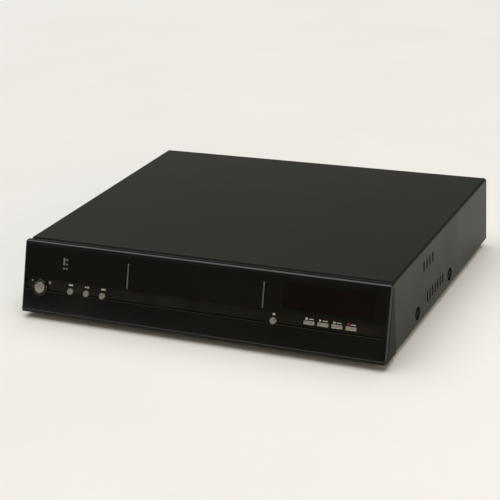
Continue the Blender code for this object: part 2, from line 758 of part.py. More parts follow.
def front_panel(plane):
    """The gloss panel over the upper face, with the tray's way, the window and the marks."""
    side = HALF_FRONT - PANEL_EDGE - FIT
    bm = bmesh.new()
    block(bm, (-side, 0, -BAND_TOP + FIT), (side, PANEL_THICK, -PANEL_TOP))
    panel = finish("gloss_panel", bm, look("gloss black acrylic", (0.006, 0.006, 0.005), 0.06), plane)

    door = bmesh.new()
    door_opening(door, RUNNING)
    door.transform(plane.matrix_basis.inverted())
    cut(panel, door)

    holes = bmesh.new()
    half = LENS_WIDTH / 2 + FIT
    lens_low = LENS_TOP + LENS_HEIGHT + FIT
    high = (LENS_CENTRE_X + half, PANEL_THICK + OVERRUN, FIT - LENS_TOP)
    block(holes, (LENS_CENTRE_X - half, -OVERRUN, -lens_low), high)
    mark_shapes(holes, -OVERRUN, PANEL_THICK + OVERRUN, FIT)
    cut(panel, holes)

    bm = bmesh.new()
    half = LENS_WIDTH / 2
    low = LENS_TOP + LENS_HEIGHT
    block(bm, (LENS_CENTRE_X - half, 0, -low), (LENS_CENTRE_X + half, PANEL_THICK, -LENS_TOP))
    finish("display_lens", bm, look("smoked window", (0.05, 0.022, 0.010), 0.05), plane)

    bm = bmesh.new()
    block(bm, *light_block_corners(0))
    pipe = finish("indicator_light_pipe", bm, look("milky light pipe", (0.55, 0.56, 0.52), 0.35), plane)
    marks = bmesh.new()
    mark_shapes(marks, 0, PANEL_THICK + FIT + BITE, 0)
    join(pipe, marks)


def band(plane):
    """The recessed band with its button holes, and the collar round the power button."""
    side = HALF_FRONT - PANEL_EDGE - FIT
    bm = bmesh.new()
    block(bm, (-side, BAND_SET_BACK, -BAND_LOW), (side, BAND_BACK, -BAND_TOP))
    trim = finish("band_trim", bm, look("brown black gloss", (0.022, 0.018, 0.014), 0.12), plane)
    holes = bmesh.new()
    reach = BAND_BACK + OVERRUN
    for x in round_button_places():
        rod(holes, (x, 0, -BUTTON_ROW), (x, reach, -BUTTON_ROW), ROUND_RADIUS + RUNNING, ROUND)
    for x in bar_button_places():
        half = BAR_WIDTH / 2 + RUNNING
        tall = BAR_HEIGHT / 2 + RUNNING
        block(holes, (x - half, 0, -BAR_ROW - tall), (x + half, reach, -BAR_ROW + tall))
    rod(holes, (POWER_X, 0, -BUTTON_ROW), (POWER_X, reach, -BUTTON_ROW), COLLAR_RADIUS + FIT, FINE)
    cut(trim, holes)

    bm = bmesh.new()
    inner = POWER_RADIUS + RUNNING
    section = [
        (inner, COLLAR_PROUD - BUTTON_CHAMFER),
        (inner + BUTTON_CHAMFER, COLLAR_PROUD),
        (COLLAR_RADIUS - BUTTON_CHAMFER, COLLAR_PROUD),
        (COLLAR_RADIUS, COLLAR_PROUD - BUTTON_CHAMFER),
        (COLLAR_RADIUS, -COLLAR_DEPTH),
        (inner, -COLLAR_DEPTH),
    ]
    turned(bm, section, FINE, Matrix.Rotation(math.pi / 2, 4, "X"), hollow=True)
    surface = look("collar black", (0.010, 0.010, 0.010), 0.2)
    finish("power_collar", bm, surface, plane, (POWER_X, 0, -BUTTON_ROW))


def join_stem(button):
    """A button's stem to its switch, with the clip that keeps it behind the front wall."""
    bar = bmesh.new()
    rod(bar, (0, BUTTON_DEPTH - BITE, 0), (0, STEM_END, 0), STEM_RADIUS, SMALL)
    join(button, bar)
    clip = bmesh.new()
    start = FRONT_WALL + CLIP_ROOM
    rod(clip, (0, start, 0), (0, start + CLIP_THICK, 0), CLIP_RADIUS, SMALL)
    join(button, clip)


def round_button(name, plane, x, radius, proud, surface):
    bm = bmesh.new()
    profile = [
        (radius - BUTTON_CHAMFER, proud),
        (radius, proud - BUTTON_CHAMFER),
        (radius, -BUTTON_DEPTH),
    ]
    turned(bm, profile, FINE if radius > ROUND_RADIUS else ROUND, Matrix.Rotation(math.pi / 2, 4, "X"))
    join_stem(finish(name, bm, surface, plane, (x, 0, -BUTTON_ROW)))


def bar_button(name, plane, x, surface):
    bm = bmesh.new()
    half = BAR_WIDTH / 2
    tall = BAR_HEIGHT / 2
    block(bm, (-half, -BUTTON_PROUD, -tall), (half, BUTTON_DEPTH, tall))
    rim = [edge for edge in bm.edges if all(vert.co.y < 0 for vert in edge.verts)]
    bmesh.ops.bevel(bm, geom=rim, offset=BUTTON_CHAMFER, segments=1, profile=0.5, affect="EDGES")
    join_stem(finish(name, bm, surface, plane, (x, 0, -BAR_ROW)))


def buttons(plane):
    """The power button, three small round ones, open and close, and four bars."""
    silver = look("silver button", (0.50, 0.49, 0.42), 0.35, 0.6)
    round_button("power_button", plane, POWER_X, POWER_RADIUS, POWER_PROUD, silver)
    names = ["round_button_1", "round_button_2", "round_button_3", "open_close_button"]
    for name, x in zip(names, round_button_places()):
        round_button(name, plane, x, ROUND_RADIUS, BUTTON_PROUD, silver)
    for number, x in enumerate(bar_button_places(), 1):
        bar_button(f"bar_button_{number}", plane, x, silver)


def front_boards(plane):
    """The two boards behind the face, with a switch behind each button, and the display."""
    green = look("front board green", (0.02, 0.08, 0.035), 0.5)
    switches = [(POWER_X, BUTTON_ROW)]
    switches += [(x, BUTTON_ROW) for x in round_button_places()]
    switches += [(x, BAR_ROW) for x in bar_button_places()]
    start = STEM_END + BUTTON_TRAVEL + PRESS_ROOM
    for name, (left, right) in zip(("left_front_board", "right_front_board"), board_spans()):
        bm = bmesh.new()
        rear = FRONT_BOARD_DEPTH + FRONT_BOARD_THICK
        block(bm, (left, FRONT_BOARD_DEPTH, -FRONT_BOARD_LOW), (right, rear, -FRONT_BOARD_TOP))
        board = finish(name, bm, green, plane)
        fitted = bmesh.new()
        half = SWITCH_SIDE / 2
        for x, down in switches:
            if left < x < right:
                low = (x - half, start, -down - half)
                block(fitted, low, (x + half, FRONT_BOARD_DEPTH + BITE, -down + half))
        join(board, fitted)
    bm = bmesh.new()
    half = LENS_WIDTH / 2
    low = LENS_TOP + LENS_HEIGHT
    end = DISPLAY_DEPTH + DISPLAY_THICK
    block(bm, (LENS_CENTRE_X - half, DISPLAY_DEPTH, -low), (LENS_CENTRE_X + half, end, -LENS_TOP))
    module = finish("display_module", bm, look("display glass", (0.03, 0.05, 0.05), 0.15), plane)
    pins = bmesh.new()
    inset = BOSS_RADIUS * 2
    for x in (LENS_CENTRE_X - half + inset, LENS_CENTRE_X + half - inset):
        spot = -LENS_TOP - LENS_HEIGHT / 2
        rod(pins, (x, end - BITE, spot), (x, FRONT_BOARD_DEPTH - FIT, spot), BOSS_RADIUS, SMALL)
    join(module, pins)


def front_flap(plane):
    """The full-width lower door. Its rounded lower edge turns about two end pins."""
    tall = FLAP_AXIS - FLAP_TOP
    outline = [
        (FLAP_HALF, tall - FLAP_CHAMFER),
        (FLAP_HALF - FLAP_CHAMFER, tall),
        (FLAP_CHAMFER - FLAP_HALF, tall),
        (-FLAP_HALF, tall - FLAP_CHAMFER),
    ]
    outline += arc((0, 0), FLAP_HALF, math.pi, math.tau, 2 * FOLD_STEPS)
    half = HALF_FRONT - SIDE_WALL - FLAP_END_GAP
    bm = bmesh.new()
    prism(bm, outline, "X", -half, half)
    surface = look("flap gloss black", (0.010, 0.010, 0.009), 0.12)
    flap = finish("front_flap", bm, surface, plane, (0, 0, -FLAP_AXIS))
    notches = bmesh.new()
    row = FLAP_AXIS - BUTTON_ROW
    reach = FLAP_HALF + OVERRUN
    for x in round_button_places():
        rod(notches, (x, -reach, row), (x, reach, row), ROUND_RADIUS + FLAP_NOTCH_ROOM, ROUND)
    rod(notches, (POWER_X, -reach, row), (POWER_X, reach, row), COLLAR_RADIUS + FLAP_NOTCH_ROOM, FINE)
    cut(flap, notches)
    pins = bmesh.new()
    for end in (-1, 1):
        tip = end * (half + FLAP_PIN_LENGTH)
        rod(pins, (end * (half - FLAP_PIN_LENGTH), 0, 0), (tip, 0, 0), FLAP_PIN_RADIUS, SMALL)
    join(flap, pins)


def front_jack_places():
    return [FRONT_JACK_LAST_X - FRONT_JACK_PITCH * step for step in (3, 2, 1, 0)]


def jack_panel():
    """The upright panel behind the flap, with its sill, and its four jacks."""
    half = HALF_FRONT - SIDE_WALL - JACK_PANEL_END_GAP
    front = back(-JACK_PANEL_BACK - JACK_PANEL_THICK)
    bm = bmesh.new()
    outline = [
        (back(-JACK_PANEL_BACK), up(BOTTOM_WALL + FIT)),
        (back(-JACK_PANEL_BACK), up(JACK_PANEL_TOP)),
        (back(-JACK_PANEL_FRONT), up(JACK_PANEL_TOP)),
        (back(-JACK_PANEL_FRONT), up(JACK_PANEL_TOP - JACK_PANEL_THICK)),
        (front, up(JACK_PANEL_TOP - JACK_PANEL_THICK)),
        (front, up(BOTTOM_WALL + FIT)),
    ]
    prism(bm, outline, "X", -half, half)
    panel = finish("jack_panel", bm, look("jack panel black", (0.015, 0.015, 0.015), 0.45))
    holes = bmesh.new()
    rear = back(OVERRUN - JACK_PANEL_BACK)
    middle = up(JACK_HEIGHT)
    for step, x in enumerate(front_jack_places()):
        radius = (DIN_RADIUS if step == 0 else JACK_RADIUS) + FIT
        rod(holes, (x, front - OVERRUN, middle), (x, rear, middle), radius, ROUND)
    cut(panel, holes)

    jacks = (
        ("front_s_video_jack", (0.02, 0.02, 0.02)),
        ("front_video_jack", (0.70, 0.45, 0.02)),
        ("front_audio_left_jack", (0.65, 0.65, 0.62)),
        ("front_audio_right_jack", (0.55, 0.03, 0.03)),
    )
    for step, (name, colour) in enumerate(jacks):
        place = (front_jack_places()[step], back(-JACK_PANEL_BACK), up(JACK_HEIGHT))
        half = JACK_BODY_SIDE / 2
        bm = bmesh.new()
        block(bm, (-half, FIT, -half), (half, JACK_BODY, half))
        jack = finish(name, bm, look(name.replace("_", " "), colour, 0.35), None, place)
        barrel = bmesh.new()
        stand_out = DIN_STAND_OUT if step == 0 else JACK_STAND_OUT
        radius = DIN_RADIUS if step == 0 else JACK_RADIUS
        tip = -JACK_PANEL_THICK - stand_out
        rod(barrel, (0, FIT + BITE, 0), (0, tip, 0), radius, ROUND)
        join(jack, barrel)
        bores = bmesh.new()
        if step == 0:
            for turn in (math.pi / 4, 3 * math.pi / 4, 5 * math.pi / 4, 7 * math.pi / 4):
                x = DIN_PIN_CIRCLE * math.cos(turn)
                z = DIN_PIN_CIRCLE * math.sin(turn)
                rod(bores, (x, tip - OVERRUN, z), (x, 0, z), DIN_PIN_HOLE_RADIUS, SMALL)
        else:
            rod(bores, (0, tip - OVERRUN, 0), (0, JACK_BODY / 2, 0), JACK_HOLE_RADIUS, SMALL)
        cut(jack, bores)


def side_screw_places():
    """The four side screws: which side, and how far behind the cover's front edge."""
    rows = (("front", SIDE_SCREW_FRONT_Y), ("back", SIDE_SCREW_BACK_Y))
    return [(side, name, end, y) for side, end in (("left", -1), ("right", 1)) for name, y in rows]


def top_cover():
    """The folded steel cover: roof and two sides, with vents and pressed screw dimples."""
    roof = up(BODY_HEIGHT)
    inner_radius = COVER_FOLD_RADIUS - COVER_SHEET
    fold_x = HALF_COVER - COVER_FOLD_RADIUS
    fold_z = roof - COVER_FOLD_RADIUS
    outline = [(HALF_COVER, up(0))]
    outline += arc((fold_x, fold_z), COVER_FOLD_RADIUS, 0, math.pi / 2, FOLD_STEPS)
    outline += arc((-fold_x, fold_z), COVER_FOLD_RADIUS, math.pi / 2, math.pi, FOLD_STEPS)
    outline += [(-HALF_COVER, up(0)), (-COVER_INSIDE, up(0))]
    outline += arc((-fold_x, fold_z), inner_radius, math.pi, math.pi / 2, FOLD_STEPS)
    outline += arc((fold_x, fold_z), inner_radius, math.pi / 2, 0, FOLD_STEPS)
    outline += [(COVER_INSIDE, up(0))]
    bm = bmesh.new()
    prism(bm, outline, "Y", back(0), back(COVER_DEPTH))
    cover = finish("top_cover", bm, look("dark grey cover paint", (0.045, 0.047, 0.040), 0.42))

    cups = bmesh.new()
    recesses = bmesh.new()
    for _, _, end, y in side_screw_places():
        z = up(SIDE_SCREW_Z)
        outer = end * (HALF_COVER - COVER_SHEET / 2)
        bottom = end * (HALF_COVER - DIMPLE_BACK)
        rod(cups, (outer, back(y), z), (bottom, back(y), z), DIMPLE_RADIUS + DIMPLE_RIM, ROUND)
        mouth = end * (HALF_COVER + OVERRUN)
        seat = end * (HALF_COVER - DIMPLE_DEPTH)
        rod(recesses, (mouth, back(y), z), (seat, back(y), z), DIMPLE_RADIUS, ROUND)
    join(cover, cups)
    cut(cover, recesses)

    holes = bmesh.new()
    for end in (-1, 1):
        start = end * (HALF_COVER - DIMPLE_BACK - OVERRUN)
        stop = end * (HALF_COVER + OVERRUN)
        for y in (SIDE_SCREW_FRONT_Y, SIDE_SCREW_BACK_Y):
            z = up(SIDE_SCREW_Z)
            rod(holes, (start, back(y), z), (stop, back(y), z), SCREW_HOLE_RADIUS, SMALL)
    tall = VENT_HEIGHT / 2
    wide = VENT_WIDTH / 2
    groups = (
        (UPPER_VENTS, UPPER_VENT_FIRST_Y, UPPER_VENT_PITCH, UPPER_VENT_Z),
        (LOWER_VENTS, LOWER_VENT_FIRST_Y, LOWER_VENT_PITCH, LOWER_VENT_Z),
    )
    for count, first, pitch, height in groups:
        for step in range(count):
            y = back(first + pitch * step)
            z = up(height)
            for end in (-1, 1):
                near = end * (COVER_INSIDE - OVERRUN)
                far = end * (HALF_COVER + OVERRUN)
                low = (min(near, far), y - wide, z - tall)
                block(holes, low, (max(near, far), y + wide, z + tall))
    cut(cover, holes)


def screw(name, place, axis, surface):
    """A cross-head screw. Its head's underside is at the place and its shank points along the axis."""
    bm = bmesh.new()
    turned(
        bm,
        [
            (SCREW_HEAD_RADIUS * 3 / 4, -SCREW_HEAD_HEIGHT),
            (SCREW_HEAD_RADIUS, -SCREW_HEAD_HEIGHT / 2),
            (SCREW_HEAD_RADIUS, 0),
            (SCREW_SHANK_RADIUS, 0),
            (SCREW_SHANK_RADIUS, SCREW_LENGTH),
        ],
        PLAIN,
        turn_to(axis),
    )
    piece = finish(name, bm, surface, None, place)
    slots = bmesh.new()
    long, narrow = CROSS_LENGTH / 2, CROSS_WIDTH / 2
    top, low = -SCREW_HEAD_HEIGHT - OVERRUN, CROSS_DEPTH - SCREW_HEAD_HEIGHT
    arms = [(long, narrow), (narrow, narrow), (narrow, long)]
    arms += [(-narrow, long), (-narrow, narrow), (-long, narrow)]
    arms += [(-long, -narrow), (-narrow, -narrow), (-narrow, -long)]
    arms += [(narrow, -long), (narrow, -narrow), (long, -narrow)]
    prism(slots, arms, "Z", top, low)
    slots.transform(turn_to(axis))
    cut(piece, slots)


def turn_to(axis):
    """The rotation that takes local +Z to an axis."""
    return Vector((0, 0, 1)).rotation_difference(Vector(axis)).to_matrix().to_4x4()


def screws():
    black = look("blackened screw", (0.03, 0.03, 0.03), 0.4, 0.8)
    for side, name, end, y in side_screw_places():
        place = (end * (HALF_COVER - DIMPLE_DEPTH + FIT), back(y), up(SIDE_SCREW_Z))
        screw(f"{side}_{name}_screw", place, (-end, 0, 0), black)
    for side, end in (("left", -1), ("right", 1)):
        place = (end * REAR_SCREW_X, back(REAR_FACE_Y + FIT), up(REAR_SCREW_Z))
        screw(f"rear_{side}_screw", place, (0, -1, 0), black)


def board_stand_offs():
    """Centres of the stand-offs under the main and power boards."""
    spans = (
        (MAIN_BOARD_LEFT_X, MAIN_BOARD_RIGHT_X, MAIN_BOARD_FRONT_Y, MAIN_BOARD_BACK_Y),
        (POWER_BOARD_LEFT_X, POWER_BOARD_RIGHT_X, POWER_BOARD_FRONT_Y, POWER_BOARD_BACK_Y),
    )
    inset = STAND_OFF_INSET
    places = []
    for left, right, front, rear in spans:
        for x in (left + inset, right - inset):
            places += [(x, front + inset), (x, rear - inset)]
    return places


def base_chassis():
    """The steel base: a floor with folded side flanges, stand-offs and floor vents."""
    outside = FLANGE_OUTSIDE
    low, top = up(FLOOR_RISE), up(FLOOR_TOP)
    bm = bmesh.new()
    block(bm, (-outside, back(FLOOR_FRONT_Y), low), (outside, back(REAR_FACE_Y), top))
    base = finish("base_chassis", bm, look("zinc plated steel", (0.50, 0.50, 0.48), 0.35, 1.0))
    walls = bmesh.new()
    for end in (-1, 1):
        near, far = sorted((end * outside, end * (outside - FLOOR_THICK)))
        block(walls, (near, back(FLANGE_FRONT_Y), low), (far, back(FLANGE_BACK_Y), up(FLANGE_HEIGHT)))
    join(base, walls)
    posts = bmesh.new()
    for x, y in board_stand_offs():
        rod(posts, (x, back(y), top - BITE), (x, back(y), top + STAND_OFF_HEIGHT), STAND_OFF_RADIUS, SMALL)
    join(base, posts)
    holes = bmesh.new()
    for end in (-1, 1):
        for y in (SIDE_SCREW_FRONT_Y, SIDE_SCREW_BACK_Y):
            start = (end * (outside - FLOOR_THICK - OVERRUN), back(y), up(SIDE_SCREW_Z))
            stop = (end * (outside + OVERRUN), back(y), up(SIDE_SCREW_Z))
            rod(holes, start, stop, SCREW_HOLE_RADIUS, SMALL)
        for step in range(FLOOR_SLOTS):
            y = back(FLOOR_SLOT_FIRST_Y + FLOOR_SLOT_PITCH * step)
            x = end * FLOOR_SLOT_X
            half = FLOOR_SLOT_LENGTH / 2
            block(holes, (x - half, y, low - OVERRUN), (x + half, y + FLOOR_SLOT_WIDTH, top + OVERRUN))
    cut(base, holes)


def feet():
    """Four round rubber feet, each hollow below where its screw sits."""
    rubber = look("foot rubber", (0.02, 0.02, 0.02), 0.8)
    top = up(FLOOR_RISE) - FIT
    for row, y in (("front", FOOT_FRONT_Y), ("back", FOOT_BACK_Y)):
        for side, end in (("left", -1), ("right", 1)):
            bm = bmesh.new()
            profile = [
                (FOOT_RADIUS, top),
                (FOOT_RADIUS, FOOT_NARROW),
                (FOOT_RADIUS - FOOT_NARROW, 0),
                (FOOT_HOLLOW_RADIUS, 0),
                (FOOT_HOLLOW_RADIUS, FOOT_HOLLOW_DEPTH),
            ]
            turned(bm, profile, ROUND)
            finish(f"{row}_{side}_foot", bm, rubber, None, (end * FOOT_X, back(y), 0))


def jack_block_places():
    """Where the rear jack block's barrels stand: (x, z) above the cover's lower edge."""
    columns = [BLOCK_FIRST_X + BLOCK_PITCH * step for step in range(BLOCK_COLUMNS)]
    return [(x, BLOCK_LOW_Z + BLOCK_PITCH * row) for x in columns for row in range(BLOCK_ROWS)]


def aerial_heights():
    return (AERIAL_LOW_Z, AERIAL_LOW_Z + AERIAL_PITCH)


def rear_panel():
    """The rear sheet, cut for the fan, the mains inlet and each socket."""
    half = COVER_INSIDE - FIT
    top = up(BODY_HEIGHT - COVER_SHEET) - FIT
    low = up(FLOOR_TOP) + FIT
    crop = COVER_FOLD_RADIUS - COVER_SHEET
    outline = [(half, low), (half, top - crop), (half - crop, top)]
    outline += [(crop - half, top), (-half, top - crop), (-half, low)]
    bm = bmesh.new()
    prism(bm, outline, "Y", back(REAR_INSIDE_Y), back(REAR_FACE_Y))
    panel = finish("rear_panel", bm, look("rear panel grey", (0.30, 0.30, 0.29), 0.4, 0.8))
    holes = bmesh.new()
    start, stop = back(REAR_INSIDE_Y - OVERRUN), back(REAR_FACE_Y + OVERRUN)
    for x, z in jack_block_places():
        rod(holes, (x, start, up(z)), (x, stop, up(z)), JACK_RADIUS + FIT, PLAIN)
    for z in aerial_heights():
        rod(holes, (AERIAL_X, start, up(z)), (AERIAL_X, stop, up(z)), AERIAL_RADIUS + FIT, PLAIN)
    wide, tall = INLET_WIDTH / 2 + FIT, INLET_HEIGHT / 2 + FIT
    block(holes, (INLET_X - wide, start, up(INLET_Z) - tall), (INLET_X + wide, stop, up(INLET_Z) + tall))
    wide, tall = HDMI_WIDTH / 2 + FIT, HDMI_HEIGHT / 2 + FIT
    block(holes, (HDMI_X - wide, start, up(HDMI_Z) - tall), (HDMI_X + wide, stop, up(HDMI_Z) + tall))
    for end in (-1, 1):
        x, z = end * REAR_SCREW_X, up(REAR_SCREW_Z)
        rod(holes, (x, start, z), (x, stop, z), SCREW_HOLE_RADIUS, SMALL)
    rows = int(FAN_BORE_RADIUS / GRILLE_PITCH)
    for row in range(-rows, rows + 1):
        x = FAN_X + GRILLE_PITCH * row
        half = math.sqrt(FAN_BORE_RADIUS**2 - (GRILLE_PITCH * row) ** 2)
        for sign in (-1, 1):
            near = up(FAN_Z) + sign * GRILLE_SLOT / 2
            far = up(FAN_Z) + sign * half
            if abs(far - near) > GRILLE_SLOT:
                low = (x - GRILLE_SLOT / 2, start, min(near, far))
                block(holes, low, (x + GRILLE_SLOT / 2, stop, max(near, far)))
    cut(panel, holes)


def fan():
    """The rear fan: a square frame with a stator on three struts, and its rotor."""
    front, rear = back(REAR_INSIDE_Y - FIT - FAN_THICK), back(REAR_INSIDE_Y - FIT)
    half = FAN_SIDE / 2
    black = look("fan black", (0.02, 0.02, 0.02), 0.4)
    bm = bmesh.new()
    block(bm, (-half, front, -half), (half, rear, half))
    frame = finish("fan_frame", bm, black, None, (FAN_X, 0, up(FAN_Z)))
    bore = bmesh.new()
    rod(bore, (0, front - OVERRUN, 0), (0, rear + OVERRUN, 0), FAN_BORE_RADIUS, FINE)
    cut(frame, bore)
    strut_front = rear - FAN_STRUT_DEPTH
    hub = bmesh.new()
    rod(hub, (0, strut_front, 0), (0, rear, 0), FAN_STATOR_RADIUS, ROUND)
    join(frame, hub)
    for number in range(3):
        strut = bmesh.new()
        wide = FAN_STRUT_WIDTH / 2
        near, far = FAN_STATOR_RADIUS - FAN_STRUT_WIDTH, FAN_BORE_RADIUS + BITE
        block(strut, (near, strut_front, -wide), (far, rear, wide))
        strut.transform(Matrix.Rotation(math.tau * number / 3 + math.pi / 2, 4, "Y"))
        join(frame, strut)
    bearing = bmesh.new()
    rod(bearing, (0, strut_front - OVERRUN, 0), (0, rear + OVERRUN, 0), FAN_SHAFT_RADIUS + FIT, SMALL)
    cut(frame, bearing)

    hub_front = front + FIT
    hub_rear = strut_front - RUNNING
    middle = (hub_front + hub_rear) / 2
    deep = (hub_rear - hub_front) / 2
    bm = bmesh.new()
    rod(bm, (0, -deep, 0), (0, deep, 0), FAN_HUB_RADIUS, ROUND)
    surface = look("fan rotor grey", (0.04, 0.04, 0.045), 0.35)
    rotor = finish("fan_rotor", bm, surface, None, (FAN_X, middle, up(FAN_Z)))
    for number in range(FAN_BLADES):
        blade = bmesh.new()
        thin = FAN_BLADE_THICK / 2
        chord = deep * 4 / 5 * math.sqrt(2)
        block(blade, (FAN_HUB_RADIUS * 4 / 5, -chord, -thin), (FAN_BLADE_RADIUS, chord, thin))
        blade.transform(Matrix.Rotation(math.pi / 4, 4, "X"))
        blade.transform(Matrix.Rotation(math.tau * number / FAN_BLADES, 4, "Y"))
        join(rotor, blade)
    shaft = bmesh.new()
    rod(shaft, (0, deep - BITE, 0), (0, deep + FAN_SHAFT_LENGTH, 0), FAN_SHAFT_RADIUS, SMALL)
    join(rotor, shaft)


def figure_eight(width, height, steps):
    """Outline of a flat slot with round ends."""
    radius = height / 2
    side = width / 2 - radius
    right = arc((side, 0), radius, -math.pi / 2, math.pi / 2, steps)
    return right + arc((-side, 0), radius, math.pi / 2, 3 * math.pi / 2, steps)


def mains_inlet():
    """The two-pin mains inlet: a round-ended well with two pins inside."""
    place = (INLET_X, back(REAR_FACE_Y), up(INLET_Z))
    wide, tall = INLET_WIDTH / 2, INLET_HEIGHT / 2
    bm = bmesh.new()
    block(bm, (-wide, -INLET_BODY_DEPTH, -tall), (wide, FIT + INLET_RIM_THICK / 2, tall))
    inlet = finish("mains_inlet", bm, look("inlet black", (0.015, 0.015, 0.015), 0.4), None, place)
    rim = bmesh.new()
    side, rise = wide + INLET_RIM, tall + INLET_RIM
    block(rim, (-side, FIT, -rise), (side, FIT + INLET_RIM_THICK, rise))
    join(inlet, rim)
    well = bmesh.new()
    outline = figure_eight(INLET_CAVITY_WIDTH, INLET_CAVITY_HEIGHT, SMALL // 2)
    prism(well, outline, "Y", -INLET_CAVITY_DEPTH, INLET_RIM_THICK + OVERRUN)
    cut(inlet, well)
    pins = bmesh.new()
    for end in (-1, 1):
        x = end * INLET_PIN_PITCH / 2
        rod(pins, (x, -INLET_CAVITY_DEPTH - BITE, 0), (x, -INLET_PIN_SHORT, 0), INLET_PIN_RADIUS, SMALL)
    join(inlet, pins)


def aerial_tuner():
    """The tuner's metal can with its two threaded aerial terminals, one above the other."""
    metal = look("nickel tuner can", (0.62, 0.61, 0.58), 0.25, 1.0)
    half = AERIAL_BODY_SIDE / 2
    inner = -REAR_SHEET - FIT
    bm = bmesh.new()
    block(bm, (-half, inner - AERIAL_BODY_DEPTH, -half), (half, inner, half + AERIAL_PITCH))
    tuner = finish("aerial_tuner", bm, metal, None, (AERIAL_X, back(REAR_FACE_Y), up(AERIAL_LOW_Z)))
    start = FIT + AERIAL_RIDGE
    pitch = (AERIAL_OUT - start) / AERIAL_RIDGES
    profile = [(AERIAL_RADIUS, inner - BITE), (AERIAL_RADIUS, start)]
    for ridge in range(AERIAL_RIDGES):
        profile += [(AERIAL_RADIUS - AERIAL_RIDGE, start + pitch * (ridge + 1 / 2))]
        profile += [(AERIAL_RADIUS, start + pitch * (ridge + 1))]
    barrels = bmesh.new()
    bores = bmesh.new()
    for rise in (0, AERIAL_PITCH):
        turned(barrels, profile, PLAIN, Matrix.Translation((0, 0, rise)) @ turn_to((0, 1, 0)))
        rod(bores, (0, AERIAL_OUT / 2, rise), (0, AERIAL_OUT + OVERRUN, rise), AERIAL_PIN_HOLE_RADIUS, SMALL)
    join(tuner, barrels)
    cut(tuner, bores)


def rear_jack_block():
    """A moulded block with a grid of pin jacks that reach through the rear panel."""
    places = jack_block_places()
    left = min(x for x, _ in places) - BLOCK_MARGIN
    right = max(x for x, _ in places) + BLOCK_MARGIN
    low = min(z for _, z in places) - BLOCK_MARGIN
    high = max(z for _, z in places) + BLOCK_MARGIN
    rear = back(REAR_INSIDE_Y - FIT)
    bm = bmesh.new()
    block(bm, (left, rear - BLOCK_DEPTH, up(low)), (right, rear, up(high)))
    body = finish("rear_jack_block", bm, look("jack block black", (0.02, 0.02, 0.02), 0.4))
    barrels = bmesh.new()
    bores = bmesh.new()
    tip = back(REAR_FACE_Y + JACK_OUT)
    for x, z in places:
        rod(barrels, (x, rear - BITE, up(z)), (x, tip, up(z)), JACK_RADIUS, PLAIN)
        rod(bores, (x, rear - BLOCK_DEPTH / 2, up(z)), (x, tip + OVERRUN, up(z)), JACK_HOLE_RADIUS, SMALL)
    join(body, barrels)
    cut(body, bores)


def hdmi_socket():
    """A flat digital socket: a metal shell with cropped lower corners and a tongue."""
    wide, tall = HDMI_WIDTH / 2, HDMI_HEIGHT / 2
    shell = [
        (wide, tall),
        (-wide, tall),
        (-wide, HDMI_CORNER - tall),
        (HDMI_CORNER - wide, -tall),
        (wide - HDMI_CORNER, -tall),
        (wide, HDMI_CORNER - tall),
    ]
    share = (wide - HDMI_WALL) / wide
    bm = bmesh.new()
    prism(bm, shell, "Y", -HDMI_DEPTH, FIT)
    place = (HDMI_X, back(REAR_FACE_Y), up(HDMI_Z))
    socket = finish("hdmi_socket", bm, look("socket shell", (0.55, 0.54, 0.50), 0.3, 1.0), None, place)
    well = bmesh.new()
    inner = [(x * share, z - HDMI_WALL * (1 if z > 0 else -1)) for x, z in shell]
    prism(well, inner, "Y", -HDMI_CAVITY_DEPTH, OVERRUN)
    cut(socket, well)
    tongue = bmesh.new()
    half, thin = HDMI_TONGUE_WIDTH / 2, HDMI_TONGUE_THICK / 2
    block(tongue, (-half, -HDMI_CAVITY_DEPTH - BITE, -thin), (half, -HDMI_WALL, thin))
    join(socket, tongue)
    stand = bmesh.new()
    foot = up(BOARD_TOP) + FIT - place[2]
    side = wide - HDMI_CORNER
    block(stand, (-side, -HDMI_DEPTH, foot), (side, -REAR_SHEET - FIT, BITE - tall))
    join(socket, stand)


def main_board():
    """The signal board under the rear, with its large chip and a row of small ones."""
    bm = bmesh.new()
    low, top = up(BOARD_LOW), up(BOARD_TOP)
    far = (MAIN_BOARD_RIGHT_X, back(MAIN_BOARD_BACK_Y), top)
    block(bm, (MAIN_BOARD_LEFT_X, back(MAIN_BOARD_FRONT_Y), low), far)
    board = finish("main_board", bm, look("main board green", (0.02, 0.09, 0.04), 0.45))
    chips = bmesh.new()
    half = CHIP_SIDE / 2
    rise = top + BOARD_CHIP_HEIGHT
    block(chips, (CHIP_X - half, back(CHIP_Y) - half, top - BITE), (CHIP_X + half, back(CHIP_Y) + half, rise))
    half = SMALL_CHIP_SIDE / 2
    for step in range(SMALL_CHIPS):
        x = SMALL_CHIP_FIRST_X + SMALL_CHIP_PITCH * step
        block(chips, (x - half, back(CHIP_Y) - half, top - BITE), (x + half, back(CHIP_Y) + half, rise))
    join(board, chips)


def sink_outline():
    """Outline of the heat sink, seen from above: a flat base with a row of fins."""
    half = SINK_WIDTH / 2
    length = SINK_LENGTH / 2
    space = (SINK_LENGTH - SINK_FIN) / (SINK_FINS - 1)
    outline = [(-half, -length), (-half, length)]
    for fin in range(SINK_FINS - 1, -1, -1):
        right = -length + space * fin + SINK_FIN
        outline += [(half, right), (half, right - SINK_FIN)]
        if fin:
            outline += [(SINK_BASE - half, right - SINK_FIN), (SINK_BASE - half, right - space)]
    return [(SINK_X + x, back(SINK_Y) + y) for x, y in outline]


